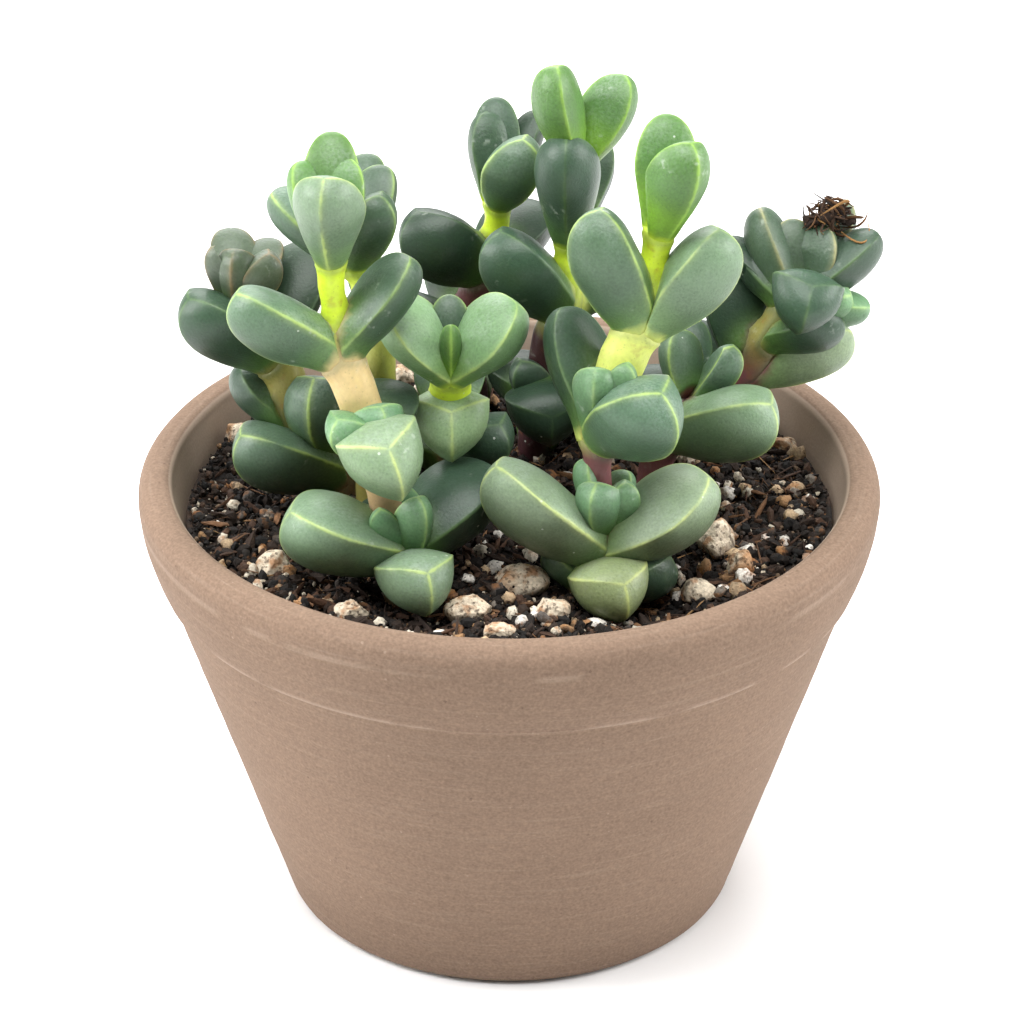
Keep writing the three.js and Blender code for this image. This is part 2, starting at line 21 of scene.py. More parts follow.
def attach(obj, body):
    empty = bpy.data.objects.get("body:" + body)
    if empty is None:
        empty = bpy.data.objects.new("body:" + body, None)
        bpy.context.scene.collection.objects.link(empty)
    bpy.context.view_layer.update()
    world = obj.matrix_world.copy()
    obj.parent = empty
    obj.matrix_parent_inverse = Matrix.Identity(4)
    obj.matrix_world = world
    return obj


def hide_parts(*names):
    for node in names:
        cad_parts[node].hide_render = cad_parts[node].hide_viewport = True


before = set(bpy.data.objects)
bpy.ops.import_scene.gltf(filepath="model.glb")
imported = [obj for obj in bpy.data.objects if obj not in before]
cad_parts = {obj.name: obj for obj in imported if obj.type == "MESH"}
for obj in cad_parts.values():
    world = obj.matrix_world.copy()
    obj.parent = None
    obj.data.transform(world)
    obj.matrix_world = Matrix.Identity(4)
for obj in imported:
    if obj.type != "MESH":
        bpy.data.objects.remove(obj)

logging.basicConfig(level=logging.INFO, format="%(name)s: %(message)s")
log = logging.getLogger("potted_plant")

Array = NDArray[np.float64]
Colour = tuple[float, float, float]
Place = tuple[float, float, float]
Span = tuple[float, float]
Material = bpy.types.Material
Node = bpy.types.Node
Socket = bpy.types.NodeSocket

MM = 0.001
BODY = "root"
SEED = 41
FULL_TURN = 2 * math.pi


def srgb(red: int, green: int, blue: int) -> Colour:
    """Turns a colour of 0 to 255 into the linear values that a shader takes.

    Args:
        red: Red, 0 to 255.
        green: Green, 0 to 255.
        blue: Blue, 0 to 255.

    Returns:
        The three linear values: each share of 255, plus 0.055, over 1.055, to the power 2.4.
    """
    return tuple(((value / 255 + 0.055) / 1.055) ** 2.4 for value in (red, green, blue))


def smooth_step(low: float, high: float, value: Array) -> Array:
    """Rises from 0 at low to 1 at high as 3t^2 - 2t^3, where t is the clipped share of the way."""
    share = np.clip((value - low) / (high - low), 0, 1)
    return share * share * (3 - 2 * share)


class Relief:
    """Smooth random relief over space.

    Random numbers from -1 to 1 sit on a cubic lattice that repeats, and the value at a point is the
    blend of the eight corners round it, each weighted by the smooth step along the three axes.

    Attributes:
        layer_shift: How far each layer is moved against the one before, in millimetres.
    """

    layer_shift: float = 7.3

    def __init__(self, seed: int, size: int = 32) -> None:
        """Fills the lattice.

        Args:
            seed: The seed of the random numbers.
            size: How many lattice points a side has.
        """
        self.size = size
        self.lattice = np.random.default_rng(seed).uniform(-1, 1, (size, size, size))

    def at(self, points: Array, cell: float) -> Array:
        """Gives the relief at points.

        Args:
            points: Points, three numbers in the last axis, in millimetres.
            cell: The size of a lattice cell in millimetres.

        Returns:
            One value from -1 to 1 for each point.
        """
        places = points / cell
        base = np.floor(places).astype(int)
        share = places - base
        share = share * share * (3 - 2 * share)
        total = np.zeros(points.shape[:-1])
        for corner in range(8):
            step = np.array([corner & 1, corner >> 1 & 1, corner >> 2 & 1])
            index = (base + step) % self.size
            weight = np.prod(np.where(step == 1, share, 1 - share), axis=-1)
            total += weight * self.lattice[index[..., 0], index[..., 1], index[..., 2]]
        return total

    def layered(self, points: Array, cell: float, layers: int) -> Array:
        """Adds layers of relief, each of half the cell and half the height of the one before."""
        halves = [(layer, 2**layer) for layer in range(layers)]
        return sum(self.at(points + self.layer_shift * layer, cell / half) / half for layer, half in halves)


RELIEF = Relief(SEED)


def unit(vectors: Array) -> Array:
    """Brings vectors, three numbers in the last axis, to a length of 1."""
    return vectors / np.linalg.norm(vectors, axis=-1, keepdims=True)


def spokes(centre: Array, off: Sequence[float], sides: int) -> Array:
    """Gives the directions that stand square on a curve, all the way round it.

    The first runs along the forward direction crossed with off, and the others turn from it as
    cos a first + sin a second.

    Args:
        centre: The curve's points.
        off: Any direction that the curve never takes.
        sides: How many directions a point has.

    Returns:
        The directions, points by sides by three numbers.
    """
    forward = unit(np.gradient(centre, axis=0))
    side = unit(np.cross(forward, off))
    back = np.cross(forward, side)
    angle = np.linspace(0, FULL_TURN, sides, endpoint=False)[None, :, None]
    return side[:, None] * np.cos(angle) + back[:, None] * np.sin(angle)


@dataclass
class Surface:
    """A mesh before it is one: points in millimetres, faces and named values at the points.

    Attributes:
        points: One row of three numbers for each point.
        quads: Rows of four point numbers.
        triangles: Rows of three point numbers.
        values: Named values, one number, three (a vector) or four (a colour) for each point.
    """

    points: Array
    quads: NDArray[np.int64]
    triangles: NDArray[np.int64]
    values: dict[str, Array] = field(default_factory=dict)

    @staticmethod
    def joined(parts: Sequence["Surface"]) -> "Surface":
        """Puts surfaces that carry the same named values into one.

        Args:
            parts: The surfaces, in the order of their points.

        Returns:
            The one surface.
        """
        starts = np.cumsum([0] + [len(part.points) for part in parts[:-1]])
        return Surface(
            np.concatenate([part.points for part in parts]),
            np.concatenate([part.quads + start for part, start in zip(parts, starts)]),
            np.concatenate([part.triangles + start for part, start in zip(parts, starts)]),
            {name: np.concatenate([part.values[name] for part in parts]) for name in parts[0].values},
        )

    def make(self, name: str, material: Material, smooth: bool = True) -> bpy.types.Object:
        """Makes the Blender object, with its place in its mesh and its object at the origin.

        Args:
            name: The object's name.
            material: The material of all faces.
            smooth: Whether the faces are shaded smooth.

        Returns:
            The new object, linked to the scene.
        """
        mesh = bpy.data.meshes.new(name)
        mesh.vertices.add(len(self.points))
        mesh.vertices.foreach_set("co", (self.points * MM).astype(np.float32).ravel())
        corners = np.concatenate([self.quads.ravel(), self.triangles.ravel()])
        sizes = np.concatenate([np.full(len(self.quads), 4), np.full(len(self.triangles), 3)])
        mesh.loops.add(len(corners))
        mesh.loops.foreach_set("vertex_index", corners.astype(np.int32))
        mesh.polygons.add(len(sizes))
        mesh.polygons.foreach_set("loop_start", (np.cumsum(sizes) - sizes).astype(np.int32))
        mesh.polygons.foreach_set("use_smooth", np.full(len(sizes), smooth))
        for label, value in self.values.items():
            if value.ndim == 1:
                kind, key = "FLOAT", "value"
            elif value.shape[1] == 3:
                kind, key = "FLOAT_VECTOR", "vector"
            else:
                kind, key = "FLOAT_COLOR", "color"
            attribute = mesh.attributes.new(label, kind, "POINT")
            attribute.data.foreach_set(key, value.astype(np.float32).ravel())
        mesh.update(calc_edges=True)
        mesh.validate()
        mesh.materials.append(material)
        piece = bpy.data.objects.new(name, mesh)
        bpy.context.scene.collection.objects.link(piece)
        return piece


def skin(rings: Array, values: Mapping[str, Array], first: Array, last: Array) -> Surface:
    """Stretches a closed skin over rings of points, with a pole at each end.

    Args:
        rings: Rings by corners by three numbers; the corners run anticlockwise seen from the last pole.
        values: Named values for each ring and corner; a pole takes the middle value of its ring.
        first: The pole before the first ring.
        last: The pole after the last ring.

    Returns:
        The closed surface.
    """
    count, sides = rings.shape[:2]
    index = np.arange(count * sides).reshape(count, sides)
    beside = np.roll(index, -1, axis=1)
    quads = np.stack([index[:-1], beside[:-1], beside[1:], index[1:]], axis=-1).reshape(-1, 4)
    start, end = count * sides, count * sides + 1
    bottom = np.stack([np.full(sides, start), beside[0], index[0]], axis=-1)
    top = np.stack([index[-1], beside[-1], np.full(sides, end)], axis=-1)
    carried = {}
    for name, value in values.items():
        flat = value.reshape((count * sides, *value.shape[2:]))
        carried[name] = np.concatenate([flat, value[:1].mean(axis=1), value[-1:].mean(axis=1)])
    points = np.concatenate([rings.reshape(-1, 3), first[None], last[None]])
    return Surface(points, quads, np.concatenate([bottom, top]), carried)


def painted(colour: Sequence[float], shape: tuple[int, ...], strength: float = 1.0) -> Array:
    """Gives every point of a grid the same colour, with the strength in the fourth place."""
    return np.broadcast_to(np.array([*colour, strength]), (*shape, 4)).copy()


# The sockets of a Mix node that is set to colours: the share and the two colours, and the result.
MIX_INPUTS = (0, 6, 7)
MIX_RESULT = 2


class Patch(NamedTuple):
    """Noise that shows only where it is high.

    Attributes:
        scale: How many of its bumps go into a metre.
        detail: How many finer layers it has.
        low: Where it starts to show.
        high: Where it shows in full.
        top: How strong it is in full.
    """

    scale: float
    detail: float
    low: float
    high: float
    top: float = 1.0


class Fleck(NamedTuple):
    """Small uneven spots.

    Attributes:
        scale: How many cells go into a metre.
        size: How large a spot is, as a share of its cell.
        share: The share of cells that hold one.
    """

    scale: float
    size: float
    share: float


class Sheet:
    """A node tree that is filled in from code."""

    def __init__(self, tree: bpy.types.NodeTree) -> None:
        """Keeps the tree."""
        self.tree = tree

    def feed(self, socket: Socket, value: object) -> None:
        """Links an output to a socket, or sets the socket to a plain value.

        Args:
            socket: The socket that takes it.
            value: Another node's output, a number, a vector or a colour.
        """
        if isinstance(value, Socket):
            self.tree.links.new(value, socket)
        elif isinstance(value, tuple) and len(value) == 3 and socket.type == "RGBA":
            socket.default_value = (*value, 1)
        else:
            socket.default_value = value

    def add(
        self, kind: str, inputs: Mapping[str | int, object] | None = None, **settings: object
    ) -> Node:
        """Adds a node.

        Args:
            kind: The node's type name.
            inputs: What goes into its sockets, by name or number.
            **settings: The node's own settings.

        Returns:
            The node.
        """
        node = self.tree.nodes.new(kind)
        for name, value in settings.items():
            setattr(node, name, value)
        for name, value in (inputs or {}).items():
            self.feed(node.inputs[name], value)
        return node

    def maths(self, operation: str, *values: object) -> Socket:
        """Adds a Math node with its values in order and gives its output."""
        return self.add("ShaderNodeMath", dict(enumerate(values)), operation=operation).outputs[0]

    def blend(self, share: object, below: object, above: object, kind: str = "MIX") -> Socket:
        """Lays one colour over another.

        Args:
            share: How much of the upper colour shows, from 0 to 1.
            below: The lower colour.
            above: The upper colour.
            kind: The Mix node's way of blending.

        Returns:
            The blended colour.
        """
        node = self.add("ShaderNodeMix", data_type="RGBA", blend_type=kind)
        for place, value in zip(MIX_INPUTS, (share, below, above)):
            self.feed(node.inputs[place], value)
        return node.outputs[MIX_RESULT]

    def lay(self, mask: object, share: object, below: object, above: object) -> Socket:
        """Lays one colour over another where a mask is, by a share of it, and gives the result."""
        return self.blend(self.maths("MULTIPLY", mask, share), below, above)

    def noise(self, vector: object, scale: object, detail: float) -> Socket:
        """Adds a noise that is about 0.5 on average and gives its value."""
        node = self.add("ShaderNodeTexNoise", {"Vector": vector, "Scale": scale, "Detail": detail})
        return node.outputs["Factor"] if "Factor" in node.outputs else node.outputs["Fac"]

    def rise(self, value: object, low: float, high: float, top: float = 1.0) -> Socket:
        """Rises smoothly from 0 where a value is low to top where it is high.

        Args:
            value: The value.
            low: Where the rise starts; it may be above high, and then it falls.
            high: Where it ends.
            top: What it rises to.

        Returns:
            The risen value.
        """
        node = self.add(
            "ShaderNodeMapRange",
            {"Value": value, "From Min": low, "From Max": high, "To Min": 0.0, "To Max": top},
            interpolation_type="SMOOTHSTEP",
        )
        return node.outputs["Result"]

    def patches(self, vector: object, patch: Patch) -> Socket:
        """Adds noise that shows only where it is high and gives its strength."""
        return self.rise(self.noise(vector, patch.scale, patch.detail), patch.low, patch.high, patch.top)

    def named(self, name: str) -> Node:
        """Adds the node that reads one of the mesh's named values."""
        return self.add("ShaderNodeAttribute", attribute_name=name)

    def place(self) -> Socket:
        """Gives the place in the object's own coordinates, in metres."""
        return self.add("ShaderNodeTexCoord").outputs["Object"]


def effect(name: str, takes: Mapping[str, str], gives: Mapping[str, str]) -> tuple[Sheet, Node, Node]:
    """Starts a shader node group.

    Args:
        name: The group's name.
        takes: The inputs, each with its socket type.
        gives: The outputs, each with its socket type.

    Returns:
        The sheet of the group, its input node and its output node.
    """
    tree = bpy.data.node_groups.new(name, "ShaderNodeTree")
    for label, kind in takes.items():
        tree.interface.new_socket(label, in_out="INPUT", socket_type=kind)
    for label, kind in gives.items():
        tree.interface.new_socket(label, in_out="OUTPUT", socket_type=kind)
    sheet = Sheet(tree)
    return sheet, sheet.add("NodeGroupInput"), sheet.add("NodeGroupOutput")


NUMBER = "NodeSocketFloat"
SMALLEST_FLECK = 0.4


def make_mottling() -> bpy.types.NodeTree:
    """Makes the shared mottling: a colour lightened and darkened by broad and fine noise.

    Returns:
        The group, with the broken colour and a relief from the same noise.
    """
    numbers = ("Broad Scale", "Fine Scale", "Broad Amount", "Fine Amount")
    takes = {"Vector": "NodeSocketVector", "Colour": "NodeSocketColor", **dict.fromkeys(numbers, NUMBER)}
    gives = {"Colour": "NodeSocketColor", "Relief": NUMBER}
    sheet, given, result = effect("mottling", takes, gives)
    broad = sheet.noise(given.outputs["Vector"], given.outputs["Broad Scale"], 3)
    fine = sheet.noise(given.outputs["Vector"], given.outputs["Fine Scale"], 2)
    swing = [
        sheet.maths("MULTIPLY", sheet.maths("SUBTRACT", value, 0.5), given.outputs[amount])
        for value, amount in ((broad, "Broad Amount"), (fine, "Fine Amount"))
    ]
    light = sheet.maths("ADD", 1.0, sheet.maths("ADD", *swing))
    grey = sheet.add("ShaderNodeCombineColor", {0: light, 1: light, 2: light}).outputs[0]
    sheet.feed(result.inputs["Colour"], sheet.blend(1.0, given.outputs["Colour"], grey, "MULTIPLY"))
    sheet.feed(result.inputs["Relief"], fine)
    return sheet.tree


def make_flecks() -> bpy.types.NodeTree:
    """Makes the shared flecks: small spots at random places, from 0.4 to 1.4 times their size.

    Returns:
        The group, with a mask that is 1 on the spots.
    """
    takes = {"Vector": "NodeSocketVector", **dict.fromkeys(("Scale", "Size", "Share"), NUMBER)}
    sheet, given, result = effect("flecks", takes, {"Mask": NUMBER})
    cells = sheet.add("ShaderNodeTexVoronoi", {name: given.outputs[name] for name in ("Vector", "Scale")})
    draw = sheet.add("ShaderNodeSeparateColor", {0: cells.outputs["Color"]})
    chosen = sheet.maths("LESS_THAN", draw.outputs[0], given.outputs["Share"])
    size = sheet.maths("ADD", SMALLEST_FLECK, draw.outputs[1])
    size = sheet.maths("MULTIPLY", given.outputs["Size"], size)
    spot = sheet.maths("LESS_THAN", cells.outputs["Distance"], size)
    sheet.feed(result.inputs["Mask"], sheet.maths("MULTIPLY", chosen, spot))
    return sheet.tree


MOTTLING = make_mottling()
FLECKS = make_flecks()


def mottled(
    sheet: Sheet, vector: object, colour: object, scales: tuple[float, float], amounts: tuple[float, float]
) -> Node:
    """Places the shared mottling in a material.

    Args:
        sheet: The material's sheet.
        vector: Where the noise is read.
        colour: The colour to break up.
        scales: The broad and the fine noise's scale.
        amounts: How much each of them changes the colour.

    Returns:
        The group node.
    """
    node = sheet.add("ShaderNodeGroup", node_tree=MOTTLING)
    given = {
        "Vector": vector,
        "Colour": colour,
        "Broad Scale": scales[0],
        "Fine Scale": scales[1],
        "Broad Amount": amounts[0],
        "Fine Amount": amounts[1],
    }
    for name, value in given.items():
        sheet.feed(node.inputs[name], value)
    return node


def flecked(sheet: Sheet, vector: object, fleck: Fleck) -> Socket:
    """Places the shared flecks in a material.

    Args:
        sheet: The material's sheet.
        vector: Where the flecks are read.
        fleck: How fine, large and frequent they are.

    Returns:
        Their mask.
    """
    node = sheet.add("ShaderNodeGroup", node_tree=FLECKS)
    given = {"Vector": vector, "Scale": fleck.scale, "Size": fleck.size, "Share": fleck.share}
    for name, value in given.items():
        sheet.feed(node.inputs[name], value)
    return node.outputs["Mask"]


def start_material(name: str) -> tuple[Material, Sheet, Node]:
    """Starts a material.

    Args:
        name: The material's name.

    Returns:
        The material, its sheet and its Principled BSDF.
    """
    material = bpy.data.materials.new(name)
    material.use_nodes = True
    return material, Sheet(material.node_tree), material.node_tree.nodes["Principled BSDF"]


def raise_relief(sheet: Sheet, shader: Node, height: object, distance: float, strength: float) -> None:
    """Lays a fine relief over a material through a Bump node.

    Args:
        sheet: The material's sheet.
        shader: The shader that takes the normal.
        height: The relief, from 0 to 1.
        distance: How deep the relief is, in metres.
        strength: The share of it that shows.
    """
    bump = sheet.add("ShaderNodeBump", {"Height": height, "Distance": distance, "Strength": strength})
    sheet.feed(shader.inputs["Normal"], bump.outputs[0])


@dataclass(frozen=True)
class FoliageFinish:
    """The skin of leaves and stems: waxy, with a worn pale bloom, thin bright ridge lines, small scuffs and
    painted shade on the sides that face down.

    A share says how much of the colour of that name is laid over the skin where it is strongest, scales
    and amounts are those of the broad and the fine mottling, and facing runs from -1, straight down, to 1.

    Attributes:
        bloom: The pale wax colour.
        bloom_lightness: How light the skin is where the bloom starts and where it is full, which keeps the
            bloom off the dark tones and their painted shade.
        underside_shade: The painted shade that darkens the sides that face down.
        blemish: The colour of the dry marks on a stem.
        scuff: The colour of rubbed spots and nicks.
        patch_scale: The scale of the patches that the bloom and the lines are worn in.
        grain_scale: The scale of the grain of the bloom.
        bloom_patches: How high the patches are where the bloom starts and where it is full.
        bloom_grain: The same for the grain.
        line_half_width: Half the width of a ridge line in millimetres.
        line_stray: How far a line strays from its ridge, in millimetres.
        line_wear: How high the patches are where a line starts to show and where it is full.
        halo_width: How far the lighter green beside a line reaches, in millimetres.
        patch_roughness: How much rougher the skin is in one patch than in another.
        mark_roughness: How much rougher it is where it is rubbed.
        relief: How deep the fine relief is, in metres.
    """

    bloom: Colour = srgb(168, 182, 172)
    bloom_share: float = 0.3
    bloom_facing: Span = (-0.35, 0.9)
    bloom_lightness: Span = (0.03, 0.15)
    bloom_patches: Span = (0.3, 0.72)
    bloom_grain: Span = (0.25, 0.72)
    # Painted shade: this grey-green is multiplied into the sides that face down.
    underside_shade: Colour = srgb(120, 140, 124)
    underside_shade_share: float = 0.55
    underside_shade_facing: Span = (0.15, -0.85)
    blemish: Colour = srgb(150, 96, 52)
    dry_marks: Patch = Patch(340.0, 5, 0.6, 0.72, 0.3)
    scuff: Colour = srgb(206, 214, 202)
    scuff_share: float = 0.6
    rubbed_broad: Patch = Patch(230.0, 2, 0.62, 0.74)
    rubbed_fine: Patch = Patch(900.0, 4, 0.52, 0.66, 0.5)
    nicks: Fleck = Fleck(420.0, 0.07, 0.12)
    pore: Colour = srgb(40, 62, 44)
    pore_share: float = 0.15
    pores: Fleck = Fleck(1900.0, 0.24, 0.5)
    coat_scales: Span = (260.0, 2600.0)
    coat_amounts: Span = (0.36, 0.62)
    stem_scales: Span = (420.0, 1900.0)
    stem_amounts: Span = (0.28, 0.22)
    patch_scale: float = 170.0
    grain_scale: float = 2100.0
    line_half_width: float = 0.2
    line_stray: float = 0.6
    line_wear: Span = (0.2, 0.62)
    stray_scale: float = 900.0
    halo_width: float = 1.3
    halo_share: float = 0.3
    roughness: float = 0.42
    patch_roughness: float = 0.16
    mark_roughness: float = 0.25
    relief: float = 0.00007

    def make(self) -> Material:
        """Builds the material.

        Returns:
            The material.
        """
        material, sheet, shader = start_material("foliage")
        place = sheet.place()
        patches = sheet.noise(place, self.patch_scale, 4)
        grain = sheet.noise(place, self.grain_scale, 3)
        tone = sheet.named("skin").outputs["Color"]
        coat = mottled(sheet, place, tone, self.coat_scales, self.coat_amounts)
        body = self.bloomed(sheet, coat.outputs["Colour"], tone, patches, grain)
        body = self.lined(sheet, body, place, patches)
        body = self.barked(sheet, body, place)
        rubbed = sheet.maths(
            "MULTIPLY", sheet.patches(place, self.rubbed_broad), sheet.patches(place, self.rubbed_fine)
        )
        marks = sheet.maths("MAXIMUM", rubbed, flecked(sheet, place, self.nicks))
        body = sheet.lay(marks, self.scuff_share, body, self.scuff)
        pores = flecked(sheet, place, self.pores)
        body = sheet.lay(pores, self.pore_share, body, self.pore)
        sheet.feed(shader.inputs["Base Color"], body)
        gloss = sheet.maths("MULTIPLY", patches, self.patch_roughness)
        gloss = sheet.maths("ADD", self.roughness - self.patch_roughness / 2, gloss)
        gloss = sheet.maths("ADD", gloss, sheet.maths("MULTIPLY", marks, self.mark_roughness))
        sheet.feed(shader.inputs["Roughness"], gloss)
        shader.inputs["Specular IOR Level"].default_value = 0.4
        shader.inputs["Subsurface Weight"].default_value = 0.1
        shader.inputs["Subsurface Radius"].default_value = (0.5, 1.0, 0.25)
        shader.inputs["Subsurface Scale"].default_value = 0.001
        height = sheet.maths("ADD", coat.outputs["Relief"], grain)
        height = sheet.maths("SUBTRACT", height, pores)
        raise_relief(sheet, shader, height, self.relief, 0.6)
        return material

    def bloomed(self, sheet: Sheet, body: object, tone: object, patches: object, grain: object) -> Socket:
        """Lays the bloom on the sides that face up and painted shade on those that face down.

        Args:
            sheet: The material's sheet.
            body: The mottled skin.
            tone: The plain skin, whose lightness thins the bloom.
            patches: The noise that the bloom is worn in.
            grain: The fine noise that breaks it up.

        Returns:
            The skin with its bloom and its painted shade.
        """
        facing = sheet.add("ShaderNodeTexCoord").outputs["Normal"]
        upward = sheet.add("ShaderNodeSeparateXYZ", {0: facing}).outputs[2]
        lightness = sheet.add("ShaderNodeRGBToBW", {0: tone}).outputs[0]
        on_top = sheet.rise(upward, *self.bloom_facing, self.bloom_share)
        dusty = sheet.maths("MULTIPLY", on_top, sheet.rise(lightness, *self.bloom_lightness))
        broken = sheet.rise(grain, *self.bloom_grain)
        worn = sheet.maths("MULTIPLY", sheet.rise(patches, *self.bloom_patches), broken)
        body = sheet.lay(dusty, worn, body, self.bloom)
        # Painted shade: the sides that face down are darkened by the underside tint.
        below = sheet.rise(upward, *self.underside_shade_facing, self.underside_shade_share)
        return sheet.blend(below, body, self.underside_shade, "MULTIPLY")

    def lined(self, sheet: Sheet, body: object, place: object, patches: object) -> Socket:
        """Draws the ridge lines: a thin core that strays a little, in a soft halo.

        Args:
            sheet: The material's sheet.
            body: The skin.
            place: Where the noise is read.
            patches: The noise that the lines are worn in.

        Returns:
            The skin with its lines.
        """
        ridge = sheet.named("ridge").outputs["Fac"]
        line = sheet.named("line")
        strength = sheet.maths("MULTIPLY", line.outputs["Alpha"], sheet.rise(patches, *self.line_wear))
        stray = sheet.maths("SUBTRACT", sheet.noise(place, self.stray_scale, 3), 0.5)
        reach = sheet.maths("ADD", ridge, sheet.maths("MULTIPLY", stray, self.line_stray))
        halo = sheet.maths("MULTIPLY", sheet.rise(ridge, self.halo_width, 0.0), self.halo_share)
        core = sheet.rise(reach, 2.2 * self.line_half_width, 0.0)
        for mask in (halo, core):
            body = sheet.lay(mask, strength, body, line.outputs["Color"])
        return body

    def barked(self, sheet: Sheet, body: object, place: object) -> Socket:
        """Lays the stem's colour, with its dry marks, over the stem and the roots of the leaves.

        Args:
            sheet: The material's sheet.
            body: The skin.
            place: Where the noise is read.

        Returns:
            The skin with its stem.
        """
        root = sheet.named("root").outputs["Fac"]
        bark = sheet.named("bark").outputs["Color"]
        stem = mottled(sheet, place, bark, self.stem_scales, self.stem_amounts)
        body = sheet.blend(root, body, stem.outputs["Colour"])
        return sheet.lay(sheet.patches(place, self.dry_marks), root, body, self.blemish)


@dataclass(frozen=True)
class ClayFinish:
    """Fired clay: faint turning streaks, a fine speckle, pits, thin pale lines on the edges and painted
    light on the upper inner wall.

    Attributes:
        pale: The colour of the streaks, of the pale lines on the edges, of the painted light on the inner
            wall and of the pale grains.
        dark: The colour of the pits and between the dashes.
        streak_stretch: How the noise of the long streaks is scaled along the unrolled wall.
        dash_stretch: The same for the short dashes.
        relief: How deep the fine relief is, in metres.
    """

    colour: Colour = srgb(125, 104, 88)
    pale: Colour = srgb(186, 168, 151)
    dark: Colour = srgb(78, 62, 51)
    roughness: float = 0.9
    mottle_scales: Span = (45.0, 2300.0)
    mottle_amounts: Span = (0.2, 0.85)
    streak_stretch: Place = (0.06, 0.06, 1.6)
    dash_stretch: Place = (0.5, 0.5, 4.0)
    streak_share: float = 0.1
    groove_share: float = 0.22
    pale_and_lit_share: float = 0.55
    pits: Fleck = Fleck(520.0, 0.1, 0.22)
    pit_share: float = 0.4
    grains: Fleck = Fleck(610.0, 0.1, 0.16)
    grain_share: float = 0.2
    relief: float = 0.00007

    def make(self) -> Material:
        """Builds the material.

        Returns:
            The material.
        """
        material, sheet, shader = start_material("clay")
        place = sheet.place()
        turned = sheet.named("turned").outputs["Vector"]
        long = sheet.add("ShaderNodeMapping", {"Vector": turned, "Scale": self.streak_stretch})
        short = sheet.add("ShaderNodeMapping", {"Vector": turned, "Scale": self.dash_stretch})
        streaks = sheet.noise(long.outputs[0], 1.0, 4)
        dashes = sheet.noise(short.outputs[0], 1.0, 3)
        body = mottled(sheet, place, self.colour, self.mottle_scales, self.mottle_amounts)
        colour = body.outputs["Colour"]
        colour = sheet.blend(sheet.rise(streaks, 0.5, 0.8, self.streak_share), colour, self.pale)
        colour = sheet.blend(sheet.rise(dashes, 0.56, 0.8, self.streak_share), colour, self.pale)
        colour = sheet.blend(sheet.rise(dashes, 0.44, 0.22, self.groove_share), colour, self.dark)
        # The edge value lays the pale lines on the edges and the painted light on the inner wall.
        colour = sheet.lay(sheet.named("edge").outputs["Fac"], self.pale_and_lit_share, colour, self.pale)
        pits = flecked(sheet, place, self.pits)
        colour = sheet.lay(pits, self.pit_share, colour, self.dark)
        colour = sheet.lay(flecked(sheet, place, self.grains), self.grain_share, colour, self.pale)
        sheet.feed(shader.inputs["Base Color"], colour)
        shader.inputs["Roughness"].default_value = self.roughness
        shader.inputs["Specular IOR Level"].default_value = 0.2
        height = sheet.maths("ADD", sheet.maths("MULTIPLY", dashes, 0.6), body.outputs["Relief"])
        height = sheet.maths("SUBTRACT", height, sheet.maths("MULTIPLY", pits, 0.6))
        raise_relief(sheet, shader, height, self.relief, 0.4)
        return material


@dataclass(frozen=True)
class MixFinish:
    """Whatever the potting mix is made of: the tint comes from each bit's own colour.

    Attributes:
        name: The material's name.
        roughness: Its roughness.
        scales: The scales of the broad and the fine mottling.
        amounts: How strong each mottling is.
        pits: The share of cells that hold a dark pit.
        stain: How strong the rusty and the dirty stains are.
        relief: How deep the fine relief is, in metres.
        rust: The colour of the rusty stains.
        dirt: The colour of the dirty stains.
        hole: The colour of the pits.
    """

    name: str
    roughness: float = 0.9
    scales: tuple[float, float] = (500.0, 2200.0)
    amounts: tuple[float, float] = (0.6, 0.7)
    pits: float = 0.0
    stain: float = 0.0
    relief: float = 0.00015
    rust: Colour = srgb(150, 100, 56)
    dirt: Colour = srgb(62, 50, 40)
    hole: Colour = srgb(66, 52, 40)

    def make(self) -> Material:
        """Builds the material.

        Returns:
            The material.
        """
        material, sheet, shader = start_material(self.name)
        place = sheet.place()
        tint = sheet.named("tint").outputs["Color"]
        body = mottled(sheet, place, tint, self.scales, self.amounts)
        colour = body.outputs["Colour"]
        height = body.outputs["Relief"]
        if self.stain:
            rusty = sheet.patches(place, Patch(420.0, 4, 0.5, 0.66, self.stain))
            colour = sheet.blend(rusty, colour, self.rust)
            dirty = sheet.patches(place, Patch(900.0, 4, 0.54, 0.66, self.stain))
            colour = sheet.blend(dirty, colour, self.dirt)
        if self.pits:
            holes = flecked(sheet, place, Fleck(1500.0, 0.34, self.pits))
            colour = sheet.lay(holes, 0.6, colour, self.hole)
            height = sheet.maths("SUBTRACT", height, holes)
        sheet.feed(shader.inputs["Base Color"], colour)
        shader.inputs["Roughness"].default_value = self.roughness
        shader.inputs["Specular IOR Level"].default_value = 0.35
        raise_relief(sheet, shader, height, self.relief, 0.8)
        return material


def curve_through(start: Sequence[float], bend: Sequence[float], end: Sequence[float], steps: int) -> Array:
    """Samples a quadratic curve: (1-t)^2 start + 2t(1-t) bend + t^2 end, without its last point.

    Args:
        start: The first point.
        bend: The point that the curve bends towards.
        end: The last point.
        steps: How many points it gives.

    Returns:
        The points.
    """
    t = np.linspace(0, 1, steps, endpoint=False)[:, None]
    return (1 - t) ** 2 * np.array(start) + 2 * t * (1 - t) * np.array(bend) + t**2 * np.array(end)


def straight(start: Sequence[float], end: Sequence[float], steps: int) -> Array:
    """Samples a straight run, without its last point."""
    share = np.linspace(0, 1, steps, endpoint=False)[:, None]
    return (1 - share) * np.array(start) + share * np.array(end)


